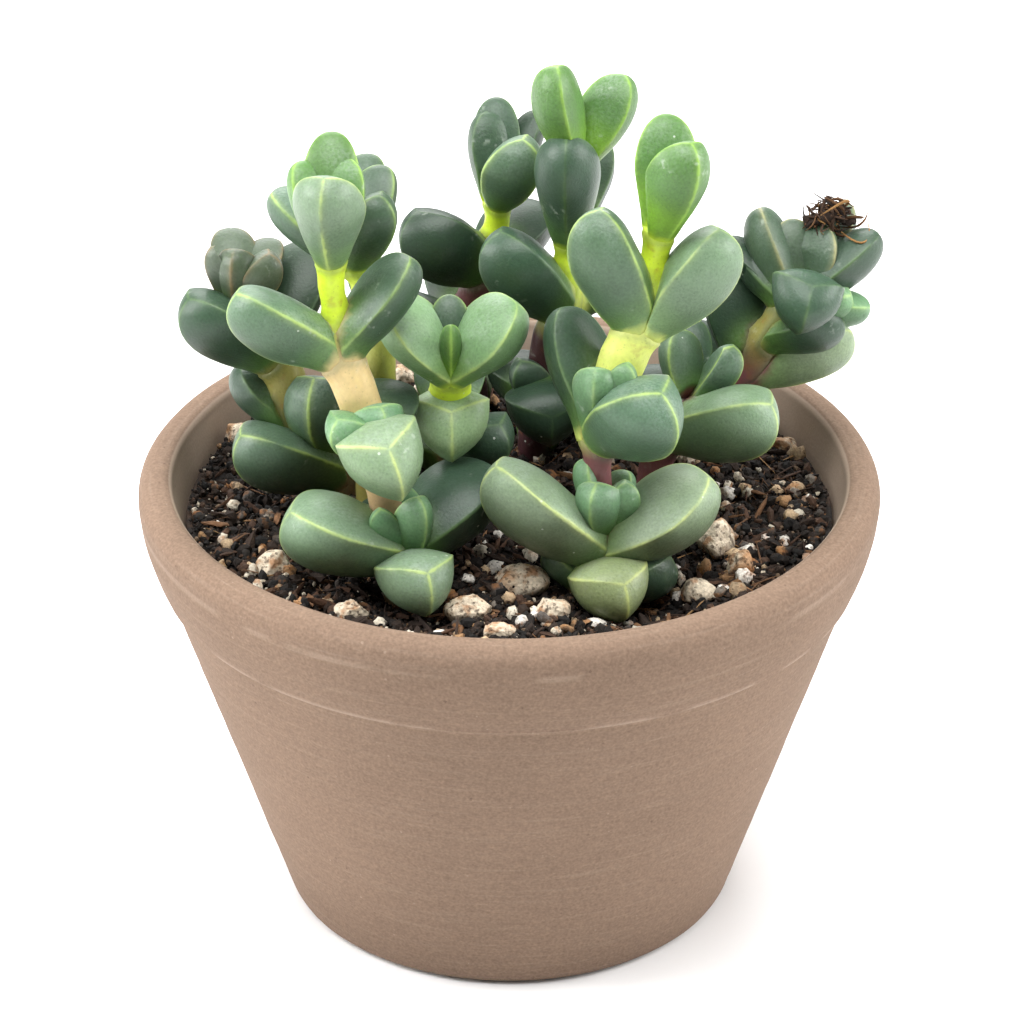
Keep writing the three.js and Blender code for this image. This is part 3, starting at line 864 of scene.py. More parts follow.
@dataclass
class Pot:
    """The turned clay pot with its collar, its foot and its drain hole, in millimetres.

    Attributes:
        rim_power: How square the rounding of the rim is: 2 is a circle.
        collar_foot_radius: The outer radius at the collar's lower edge.
        collar_step: How far the wall under the collar is set back.
        shoulder_radius: The inner radius at the height of the collar's lower edge.
        unrolled_radius: The radius that the wall is unrolled at, for its patterns.
        foot_line: How strong the thin pale line along the collar's lower edge is, from 0 to 1.
        rim_line: How strong the pale line under the rim is.
        wall_light: How much painted light lightens the upper inner wall.
    """

    rim_radius: float = 57.5
    height: float = 72.5
    rim_round: float = 3.4
    rim_power: float = 2.3
    rim_inner_radius: float = 52.2
    rim_inner_round: float = 1.6
    collar_foot_radius: float = 54.6
    collar_foot_height: float = 57.2
    collar_lip: float = 0.45
    collar_bulge: float = 0.5
    collar_step: float = 0.9
    base_radius: float = 35.3
    foot_round: float = 2.2
    floor_thickness: float = 7.0
    floor_radius: float = 30.5
    drain_radius: float = 6.0
    drain_round: float = 0.4
    shoulder_radius: float = 49.0
    sectors: int = 288
    unrolled_radius: float = 45.0
    ring_depth: float = 0.09
    dent_depth: float = 0.12
    foot_line: float = 0.6
    rim_line: float = 0.5
    wall_light: float = 0.9

    def outline(self) -> Array:
        """Draws the outline from the drain hole round the outside and down the inner wall.

        Returns:
            Points of radius and height, in order, closed from the last to the first.
        """
        collar_top = self.height - self.rim_round
        hole_end = (self.drain_radius, self.drain_round)
        hole_foot = (self.drain_radius + self.drain_round, 0)
        foot_start = (self.base_radius - self.foot_round, 0)
        foot_end = (self.base_radius + 0.3 * self.foot_round, self.foot_round)
        under_collar = (self.collar_foot_radius - self.collar_step, self.collar_foot_height - 0.3)
        collar_edge = (self.collar_foot_radius, self.collar_foot_height - 0.15)
        collar_start = (self.collar_foot_radius + 0.05, self.collar_foot_height + self.collar_lip)
        collar_middle = (
            (self.collar_foot_radius + self.rim_radius) / 2 + 2 * self.collar_bulge,
            (self.collar_foot_height + collar_top) / 2,
        )
        rim_outer = (self.rim_radius - self.rim_round, self.height)
        rim_inner = (self.rim_inner_radius + self.rim_inner_round, self.height)
        wall_top = (self.rim_inner_radius - 0.1, self.height - self.rim_inner_round)
        shoulder = (self.shoulder_radius, self.collar_foot_height)
        floor_edge = (self.floor_radius, self.floor_thickness)
        hole_top = (self.drain_radius, self.floor_thickness)
        parts = [
            curve_through(hole_end, (self.drain_radius, 0), hole_foot, 4),
            straight(hole_foot, foot_start, 16),
            curve_through(foot_start, (self.base_radius, 0), foot_end, 10),
            straight(foot_end, under_collar, 70),
            curve_through(under_collar, collar_edge, collar_start, 8),
            curve_through(collar_start, collar_middle, (self.rim_radius, collar_top), 24),
            self.corner(collar_top),
            straight(rim_outer, rim_inner, 4),
            curve_through(rim_inner, (self.rim_inner_radius, self.height), wall_top, 8),
            straight(wall_top, shoulder, 20),
            straight(shoulder, floor_edge, 24),
            straight(floor_edge, hole_top, 10),
            straight(hole_top, hole_end, 6),
        ]
        return np.concatenate(parts)

    def corner(self, collar_top: float) -> Array:
        """Rounds the rim's outer edge: a quarter of a flat-sided circle.

        Its points are 1 - cos^p a and sin^p a times the rounding, where p is 2 / rim_power.

        Args:
            collar_top: The height that the rounding starts from.

        Returns:
            Points of radius and height, without the last.
        """
        turn = np.linspace(0, math.pi / 2, 16, endpoint=False)
        power = 2 / self.rim_power
        radius = self.rim_radius - self.rim_round * (1 - np.cos(turn) ** power)
        return np.stack([radius, collar_top + self.rim_round * np.sin(turn) ** power], axis=1)

    def dust(self, outline: Array, turned: Array) -> Array:
        """Says how pale the clay is painted: a thin line on the collar's lower edge, one under the rim, and
        painted light on the upper inner wall.

        Along an edge the line is exp(-((height - middle) / half width)^2), and relief breaks it up.

        Args:
            outline: The outline's points of radius and height.
            turned: The unrolled places.

        Returns:
            A value from 0 to 1 for each point of the outline and each sector.
        """
        across, height = outline[:, :1], outline[:, 1:]
        # The pale lines lie just above the collar's edge and just under the rounding of the rim.
        foot_middle = self.collar_foot_height + 0.25
        rim_middle = self.height - self.rim_round - 1.2
        foot = np.exp(-(((height - foot_middle) / 0.3) ** 2)) * (across > self.collar_foot_radius - 1.6)
        rim = np.exp(-(((height - rim_middle) / 0.35) ** 2)) * (across > self.rim_radius - 1.5)
        broken = smooth_step(-0.2, 0.5, RELIEF.layered(turned, 5.0, 3))
        rising = smooth_step(self.collar_foot_height, self.height - 4, height)
        # Painted light: the upper inner wall is lightened towards the rim, as if lit.
        wall = (across < self.rim_inner_radius + 0.5) * rising
        return np.minimum((self.foot_line * foot + self.rim_line * rim) * broken + self.wall_light * wall, 1)

    def surface(self) -> Surface:
        """Turns the outline round the axis: x = r cos a, y = r sin a.

        The radius r is set in by shallow turning rings and broad dents, outside alone.

        Returns:
            The closed surface, with the values "turned" (the place unrolled along the outline) and
            "edge" (how much the pale lines on the edges and the painted light on the inner wall lighten
            it).
        """
        outline = self.outline()
        steps = np.linalg.norm(np.diff(outline, axis=0), axis=1)
        along = np.concatenate([[0], np.cumsum(steps)])[:, None]
        angle = np.linspace(0, FULL_TURN, self.sectors, endpoint=False)
        across, height = outline[:, :1], outline[:, 1:]
        unrolled = self.unrolled_radius * np.cos(angle)[None], self.unrolled_radius * np.sin(angle)[None]
        turned = np.stack(np.broadcast_arrays(*unrolled, along), axis=-1)
        rings = self.ring_depth * (RELIEF.at(turned * (0.05, 0.05, 1.0), 1.7) - 1) / 2
        dents = self.dent_depth * (RELIEF.at(turned, 9.0) - 1) / 2
        radius = across + np.where(across > self.floor_radius + 3, rings + dents, 0)
        points = np.stack(
            np.broadcast_arrays(radius * np.cos(angle), radius * np.sin(angle), height), axis=-1
        )
        index = np.arange(points[..., 0].size).reshape(points.shape[:2])
        beside = np.roll(index, -1, axis=1)
        above = np.roll(index, -1, axis=0)
        quads = np.stack([index, beside, np.roll(beside, -1, axis=0), above], axis=-1).reshape(-1, 4)
        values = {"turned": turned.reshape(-1, 3), "edge": self.dust(outline, turned).ravel()}
        return Surface(points.reshape(-1, 3), quads, np.zeros((0, 3), int), values)

    def build(self, clay: Material) -> None:
        """Makes the pot and stands it for its node."""
        piece = self.surface().make("clay_pot", clay)
        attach(piece, BODY)
        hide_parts("pot")
        log.info("clay pot: %d faces", len(piece.data.polygons))


class Tone(Enum):
    """A leaf's tone: skin, ridge line and how strongly the line shows.

    The grown, young, fresh, bud and aged tones go by how old a leaf is. The shaded, deep and dim tones are
    darker copies with fainter lines, partly painted shade on leaves that lie low or at the back. The
    light tone is a lighter copy, partly painted light on leaves that face the light.
    """

    GROWN = (srgb(80, 105, 81), srgb(172, 198, 106), 0.8)
    DUSTY = (srgb(106, 131, 100), srgb(180, 200, 116), 0.8)
    PALE = (srgb(126, 147, 114), srgb(200, 214, 132), 0.8)
    # Partly painted light: a lighter copy for leaves that face the light.
    LIGHT = (srgb(138, 168, 124), srgb(206, 224, 136), 0.7)
    OLIVE = (srgb(124, 138, 94), srgb(186, 196, 116), 0.75)
    # Partly painted shade: darker copies with fainter lines, for leaves that lie low or at the back.
    SHADED = (srgb(54, 76, 58), srgb(120, 150, 88), 0.35)
    DEEP_SHADE = (srgb(40, 60, 43), srgb(96, 124, 74), 0.25)
    YOUNG = (srgb(82, 120, 60), srgb(158, 196, 84), 0.7)
    # Partly painted shade: a milder darker copy.
    DIM_SHADE = (srgb(64, 86, 65), srgb(150, 178, 98), 0.7)
    FRESH = (srgb(112, 144, 100), srgb(190, 216, 124), 0.8)
    BUD = (srgb(100, 138, 98), srgb(176, 206, 120), 0.5)
    AGED = (srgb(76, 88, 70), srgb(160, 128, 84), 0.45)
    SCUFFED = (srgb(70, 89, 68), srgb(178, 172, 122), 0.7)


class Bark(Enum):
    """The colour of a stretch of stem."""

    LIME = srgb(206, 230, 58)
    PALE_LIME = srgb(220, 228, 120)
    CREAM = srgb(218, 192, 136)
    TAN = srgb(178, 148, 112)
    OLIVE = srgb(140, 134, 70)
    MAUVE = srgb(122, 76, 78)
    # Partly painted shade: mauve bark darkened for the low stems deep at the back of the clump.
    DARK = srgb(62, 36, 38)


# How a leaf's section is drawn: how many corners its upper and each lower side have, how high its
# margins stand as a share of its depth, and how far it may reach past the middle of the stem.
TOP_CORNERS = 14
SIDE_CORNERS = 12
CORNERS = TOP_CORNERS + 2 * SIDE_CORNERS
MARGIN_SHARE = 0.3
AXIS_OVERLAP = 0.2

# How a leaf closes to its tip: the share of its length where that starts, its fullness and bluntness.
CLOSES_FROM = 0.58
MARGIN_CLOSING = (CLOSES_FROM, 2.3, 2.1)
KEEL_CLOSING = (0.64, 2.5, 2.2)
ARCH_CLOSING = (0.5, 2.2, 2.0)

# The green that warms the root of a leaf: its share there and how far it reaches, in millimetres.
GREEN = srgb(118, 162, 42)
GLOWS = {Tone.YOUNG: (0.9, 15.0), Tone.FRESH: (0.6, 7.0), Tone.LIGHT: (0.6, 7.0)}
PLAIN_GLOW = (0.3, 5.0)

# A distance in millimetres past which a ridge or a leaf no longer shows on the stem.
FAR = 9.0


class Leaf(NamedTuple):
    """One leaf, in degrees and millimetres.

    Attributes:
        node: The number of the stem point that it leaves.
        compass: Where it points, from +X towards +Y.
        rise: How far its tip points up.
        length: From the middle of the stem to the tip.
        width: Over its margins.
        depth: From its upper side to its keel.
        bend: How much steeper it sets out than it ends.
        roll: How far it is turned round its own length, 0 where a row leaves it out.
    """

    node: int
    compass: float
    rise: float
    length: float
    width: float
    depth: float
    bend: float
    roll: float = 0.0


def heading(compass: float, rise: float) -> Array:
    """Gives the direction of a compass angle that rises by an angle, both in degrees."""
    turn, lift = math.radians(compass), math.radians(rise)
    return np.array([math.cos(lift) * math.cos(turn), math.cos(lift) * math.sin(turn), math.sin(lift)])


def leaf_stations() -> Array:
    """Spreads a leaf's stations from root to tip, as the sine of an even angle near the tip."""
    body = np.linspace(0, CLOSES_FROM, 13, endpoint=False)
    tip = CLOSES_FROM + (1 - CLOSES_FROM) * np.sin(np.linspace(0, math.pi / 2, 16, endpoint=False))
    return np.concatenate([body, tip, [0.9988]])


def swelling(station: Array, start: float, end: float, full_at: float) -> Array:
    """Grows from start to end: end - (end - start) (1 - s / full_at)^1.5, level from full_at on."""
    return end - (end - start) * (1 - np.minimum(station / full_at, 1)) ** 1.5


def closing(station: Array, closes_from: float, fullness: float, bluntness: float) -> Array:
    """Closes to the tip: (1 - run^fullness)^(1 / bluntness) of the run beyond closes_from."""
    run = np.maximum((station - closes_from) / (1 - closes_from), 0)
    return (1 - run**fullness) ** (1 / bluntness)


def warped(count: int, pinch: float) -> Array:
    """Spreads count + 1 places from 0 to 1, closer at both ends: v - pinch sin(2 pi v) / 2 pi."""
    even = np.linspace(0, 1, count + 1)
    return even - pinch * np.sin(FULL_TURN * even) / FULL_TURN


def section(half_width: Array, up: Array, keel: Array, arch: Array, bulge: Array) -> tuple[Array, Array]:
    """Draws a leaf's section at every station: a triangle whose three sides bulge outwards.

    A side from a to b is the quadratic curve (1-v)^2 a + 2v(1-v) c + v^2 b, where c stands off the
    middle of a and b by twice the bulge. The right margin is at (half width, up), the left margin at
    (-half width, up) and the keel at (0, -keel).

    Args:
        half_width: Half the width over the margins, for each station.
        up: The margins' height over the centre line.
        keel: The keel's depth under the centre line.
        arch: How far the upper side bulges.
        bulge: How far the lower sides bulge, as a share of their length.

    Returns:
        Places across and up, stations by corners.
    """
    right = np.stack([half_width, up], axis=1)[:, None]
    left = right * (-1, 1)
    bottom = np.stack([np.zeros_like(keel), -keel], axis=1)[:, None]
    over = np.stack([np.zeros_like(up), up + 2 * arch], axis=1)[:, None]
    off = 2 * bulge[:, None, None] * np.stack([-(keel + up), -half_width], axis=1)[:, None]
    lower_left = (left + bottom) / 2 + off
    lower_right = lower_left * (-1, 1)
    sides = (
        (right, over, left, TOP_CORNERS),
        (left, lower_left, bottom, SIDE_CORNERS),
        (bottom, lower_right, right, SIDE_CORNERS),
    )
    parts = []
    for start, bend, end, count in sides:
        v = warped(count, 0.7)[:-1][None, :, None]
        parts.append((1 - v) ** 2 * start + 2 * v * (1 - v) * bend + v**2 * end)
    corners = np.concatenate(parts, axis=1)
    return corners[..., 0], corners[..., 1]


def distance_to_ridges(x: Array, y: Array) -> Array:
    """Measures along each section how far every corner is from the nearest of its three ridges.

    Args:
        x: Places across, stations by corners, in millimetres.
        y: Places up, in the same order.

    Returns:
        The distances in millimetres.
    """
    ahead = np.hypot(np.roll(x, -1, axis=1) - x, np.roll(y, -1, axis=1) - y)
    along = np.concatenate([np.zeros((len(x), 1)), np.cumsum(ahead, axis=1)], axis=1)
    whole = along[:, -1:]
    along = along[:, :-1]
    gaps = []
    for corner in (0, TOP_CORNERS, TOP_CORNERS + SIDE_CORNERS):
        gap = np.abs(along - along[:, corner : corner + 1])
        gaps.append(np.minimum(gap, whole - gap))
    return np.minimum.reduce(gaps)


def grid_normals(rings: Array) -> Array:
    """Gives the outward normal at every corner of closed rings, from its neighbours' places."""
    around = np.roll(rings, -1, axis=1) - np.roll(rings, 1, axis=1)
    normals = np.cross(around, np.gradient(rings, axis=0))
    return normals / np.maximum(np.linalg.norm(normals, axis=-1, keepdims=True), 1e-9)


def fillet(gap: Array, reach: float = 2.2) -> Array:
    """Raises a surface near another: reach / 4 times (1 - |gap| / reach)^2."""
    return reach / 4 * np.clip(1 - np.abs(gap) / reach, 0, 1) ** 2


@dataclass
class Shoot:
    """A leafy stem: a round section carried along a smooth curve, and fat three-sided leaves in pairs.

    Attributes:
        name: The node it stands for.
        stem: Stem points as x, y, z and radius.
        leaves: The row of each leaf, in the order of Leaf.
        barks: The stem's colour at each point.
        tones: For each tone the numbers of its leaves; the others are grown, or buds where they are narrow.
        foot_height: How deep in the soil the stem starts.
        stem_steps: How many rings it has from point to point.
        bud_width: The width up to which a leaf is a bud.
        free_width: The width up to which a leaf may cross the middle of the stem.
        grown_width: The width from which a leaf has its full relief.
        root_rings: How many rings of a leaf stand in or near the stem.
        root_reach: How far round such a root the stem is measured.
        root_fades: The shares of a leaf's length between which the effects of the stem fade out.
        dry_root: How much of the stem's colour an aged leaf takes on.
        swell: How high the broad relief of a leaf is, in bumps of the size of swell_cell.
        ridge_height: How far a ridge stands out, fading within ridge_reach.
        shades: The darkest and the lightest a leaf is, as a share of its tone.
        hue_spread: How far its red, green and blue stray from that.
    """

    name: str
    stem: Sequence[tuple[float, float, float, float]]
    leaves: Sequence[tuple[float, ...]]
    barks: Sequence[Bark]
    tones: Mapping[Tone, Sequence[int]] = field(default_factory=dict)
    foot_height: float = 56.0
    foot_length: float = 8.0
    stem_sides: int = 32
    stem_steps: int = 12
    bud_width: float = 6.6
    free_width: float = 3.5
    grown_width: float = 12.0
    root_rings: int = 12
    root_reach: float = 14.0
    root_fades: Span = (0.35, 0.7)
    dry_root: float = 0.3
    swell: float = 0.25
    swell_cell: float = 5.0
    ridge_height: float = 0.05
    ridge_reach: float = 0.4
    shades: Span = (0.93, 1.07)
    hue_spread: float = 0.04

    def line(self) -> tuple[Array, Array]:
        """Gives the stem's points with the straight foot that stands in the soil, and their radii."""
        stem = np.array(self.stem, float)
        heights = (self.foot_height, self.foot_height + self.foot_length)
        foot = np.array([[*stem[0, :2], height, stem[0, 3]] for height in heights])
        whole = np.concatenate([foot, stem])
        return whole[:, :3], whole[:, 3]

    @staticmethod
    def tangents(points: Array) -> Array:
        """Gives the curve's direction at each point: from the point before to the point after."""
        before = np.concatenate([2 * points[:1] - points[1:2], points[:-1]])
        after = np.concatenate([points[1:], 2 * points[-1:] - points[-2:-1]])
        return (after - before) / 2

    def stem_places(self) -> tuple[NDArray[np.int64], Array]:
        """Gives for each ring of the stem the point before it and the share of the way to the next."""
        spans = len(self.stem) + 1
        place = np.linspace(0, spans, spans * self.stem_steps + 1)
        low = np.minimum(place.astype(int), spans - 1)
        return low, (place - low)[:, None]

    def stem_path(self) -> tuple[Array, Array]:
        """Gives the stem's centre line and its radius along it.

        Between two points the centre is the cubic with the given ends and end directions, and the
        radius runs straight from one point to the next.

        Returns:
            The centre line's points and their radii.
        """
        points, radii = self.line()
        slopes = self.tangents(points)
        low, share = self.stem_places()
        square, cube = share**2, share**3
        centre = (
            (2 * cube - 3 * square + 1) * points[low]
            + (cube - 2 * square + share) * slopes[low]
            + (3 * square - 2 * cube) * points[low + 1]
            + (cube - square) * slopes[low + 1]
        )
        return centre, (1 - share[:, 0]) * radii[low] + share[:, 0] * radii[low + 1]

    def gap_to_leaves(self, rings: Array, leaves: Sequence[Surface]) -> Array:
        """Measures how far the stem's points are from the nearest root of a leaf.

        Args:
            rings: The stem's rings.
            leaves: The shoot's leaves.

        Returns:
            The gaps, at most FAR.
        """
        flat = rings.reshape(-1, 3)
        gap = np.full(len(flat), FAR)
        for leaf in leaves:
            roots = leaf.points[: self.root_rings * CORNERS]
            close = np.linalg.norm(flat - roots.mean(axis=0), axis=1) < self.root_reach
            if close.any():
                gaps = np.linalg.norm(flat[close][:, None] - roots[None], axis=2).min(axis=1)
                gap[close] = np.minimum(gap[close], gaps)
        return gap.reshape(rings.shape[:2])

    def stem_surface(self, leaves: Sequence[Surface]) -> Surface:
        """Carries a circle along the stem's centre line, raised into a hollow fillet where leaves leave it.

        Args:
            leaves: The shoot's leaves.

        Returns:
            The closed stem.
        """
        centre, radius = self.stem_path()
        low, share = self.stem_places()
        around = spokes(centre, (0.0, 1.0, 0.0), self.stem_sides)
        rings = centre[:, None] + around * radius[:, None, None]
        rings += around * (0.1 * RELIEF.at(rings, 2.4))[..., None]
        gap = self.gap_to_leaves(rings, leaves)
        rings += around * fillet(gap)[..., None]
        colours = np.array([bark.value for bark in (self.barks[0], self.barks[0], *self.barks)])
        shape = rings.shape[:2]
        bark = painted((1, 1, 1), shape)
        bark[..., :3] = ((1 - share) * colours[low] + share * colours[low + 1])[:, None]
        values = {
            "ridge": np.full(shape, FAR),
            "root": 1 - 0.45 * (1 - smooth_step(0.0, 1.2, gap)),
            "skin": painted(Tone.GROWN.value[0], shape),
            "line": painted((1, 1, 1), shape, 0.0),
            "bark": bark,
        }
        return skin(rings, values, centre[0], centre[-1])

    def tone_of(self, number: int) -> Tone:
        """Gives the tone of the shoot's leaf of this number."""
        for tone, numbers in self.tones.items():
            if number in numbers:
                return tone
        return Tone.BUD if Leaf(*self.leaves[number]).width <= self.bud_width else Tone.GROWN

    def anchor(self, leaf: Leaf) -> tuple[Array, Array, float]:
        """Finds the point that a leaf leaves, and the stem's direction and radius there."""
        points, radii = self.line()
        index = leaf.node + len(points) - len(self.stem)
        return points[index], unit(self.tangents(points)[index]), radii[index]

    def leaf_line(self, leaf: Leaf) -> Array:
        """Gives the four points that pull a leaf's centre line up the stem, out of it and outwards."""
        point, direction, stem_radius = self.anchor(leaf)
        early = heading(leaf.compass, leaf.rise + leaf.bend)
        below = -MARGIN_SHARE * leaf.depth * heading(leaf.compass, leaf.rise + leaf.bend + 90)
        return np.array(
            [
                point - 0.4 * stem_radius * direction,
                point + 0.1 * stem_radius * direction + 0.12 * leaf.length * early + 0.4 * below,
                point + 0.62 * leaf.length * early + 1.25 * below,
                point + leaf.length * heading(leaf.compass, leaf.rise),
            ]
        )

    def leaf_rings(self, leaf: Leaf) -> tuple[Array, Array, Array]:
        """Carries a leaf's section along its centre line, the cubic curve that the four points pull.

        The section is a rounded triangle: two margins and a keel, joined by three arcs that bulge
        outwards. It starts as the stem's circle, swells, and closes towards the tip, so that the three
        ridges meet there in a Y.

        Args:
            leaf: The leaf.

        Returns:
            The rings, each corner's distance to the nearest ridge, and the two poles.
        """
        line = self.leaf_line(leaf)
        station = leaf_stations()
        s = station[:, None]
        t = 1 - s
        centre = t**3 * line[0] + 3 * s * t**2 * line[1] + 3 * s**2 * t * line[2] + s**3 * line[3]
        pulls = np.diff(line, axis=0)
        forward = unit(t**2 * pulls[0] + 2 * s * t * pulls[1] + s**2 * pulls[2])
        level = heading(leaf.compass + 90, 0)
        side = unit(level - (forward @ level)[:, None] * forward)
        face = np.cross(forward, side)
        roll = math.radians(leaf.roll)
        across = side * math.cos(roll) - face * math.sin(roll)
        upward = face * math.cos(roll) + side * math.sin(roll)
        margin_height = MARGIN_SHARE * leaf.depth
        root = 0.98 * self.anchor(leaf)[2]
        # Each measure swells from a share of the stem's radius to its full size at a share of the length.
        margins = closing(station, *MARGIN_CLOSING)
        half_width = swelling(station, 0.87 * root, leaf.width / 2, 0.66) * margins
        up = swelling(station, 0.5 * root, margin_height, 0.6) * margins
        keel = swelling(station, root, leaf.depth - margin_height, 0.66) * closing(station, *KEEL_CLOSING)
        arch = swelling(station, 0.5 * root, 0.15 * leaf.width, 0.4) * closing(station, *ARCH_CLOSING)
        x, y = section(half_width, up, keel, arch, swelling(station, 0.28, 0.17, 0.35))
        rings = centre[:, None] + across[:, None] * x[..., None] + upward[:, None] * y[..., None]
        return rings, distance_to_ridges(x, y), np.stack([centre[0], line[3]])

    def on_own_side(self, rings: Array, leaf: Leaf) -> Array:
        """Presses what reaches past the middle of the stem back to the leaf's own side of it."""
        point, direction, _ = self.anchor(leaf)
        outward = heading(leaf.compass, 0)
        own_side = unit(outward - (outward @ direction) * direction)
        return rings + own_side * np.maximum(0, -AXIS_OVERLAP - (rings - point) @ own_side)[..., None]

    def leaf_surface(self, leaf: Leaf, tone: Tone, rng: np.random.Generator) -> Surface:
        """Builds one leaf: its rings, swollen by relief, along the ridges and into a fillet at the stem.

        Args:
            leaf: The leaf.
            tone: How old it is.
            rng: The random numbers of all shoots.

        Returns:
            The closed leaf.
        """
        rings, ridge, poles = self.leaf_rings(leaf)
        station = leaf_stations()[:, None]
        near_root = 1 - smooth_step(*self.root_fades, station)
        belly = np.sin(math.pi * np.clip(station, 0, 1))
        small = min(1.0, leaf.width / self.grown_width)
        clear = self.stem_distance(rings)
        swell = self.swell * RELIEF.at(rings, self.swell_cell) * belly * small
        swell += self.ridge_height * np.exp(-((ridge / self.ridge_reach) ** 2)) * belly
        swell += fillet(clear) * near_root * small**2
        rings += grid_normals(rings) * swell[..., None]
        if leaf.width > self.free_width:
            rings = self.on_own_side(rings, leaf)
        colour, line_colour, strength = tone.value
        shade = rng.uniform(*self.shades) * np.ones(3)
        shade *= 1 + rng.uniform(-self.hue_spread, self.hue_spread, 3)
        body = painted(np.array(colour) * shade, ridge.shape)
        glow, reach = GLOWS.get(tone, PLAIN_GLOW)
        warm = glow * (1 - smooth_step(0.5, reach, clear)) * near_root
        body[..., :3] += warm[..., None] * (np.array(GREEN) - body[..., :3])
        root = (1 - smooth_step(-0.4, 1.0, clear + 0.5 * RELIEF.at(rings, 1.6))) * near_root
        lines = painted(line_colour, ridge.shape)
        lines[..., 3] = strength * (0.8 + 0.2 * near_root)
        values = {
            "ridge": ridge,
            "root": root * self.dry_root if tone is Tone.AGED else root,
            "skin": body,
            "line": lines,
            "bark": painted(self.barks[leaf.node].value, ridge.shape),
        }
        return skin(rings, values, *poles)

    def stem_distance(self, places: Array) -> Array:
        """Measures how far places are outside the stem, in millimetres, below 0 inside it."""
        centre, radius = self.stem_path()
        gaps = np.linalg.norm(places.reshape(-1, 1, 3) - centre[None], axis=2) - radius[None]
        return gaps.min(axis=1).reshape(places.shape[:-1])

    def build(self, foliage: Material, rng: np.random.Generator) -> None:
        """Makes the shoot and stands it for its node.

        Args:
            foliage: The material of leaves and stems.
            rng: The random numbers of all shoots.
        """
        leaves = []
        for number, row in enumerate(self.leaves):
            leaves.append(self.leaf_surface(Leaf(*row), self.tone_of(number), rng))
        piece = Surface.joined([self.stem_surface(leaves), *leaves]).make(f"{self.name}_living", foliage)
        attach(piece, BODY)
        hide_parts(self.name)
        log.info("%s: %d leaves, %d faces", self.name, len(self.leaves), len(piece.data.polygons))


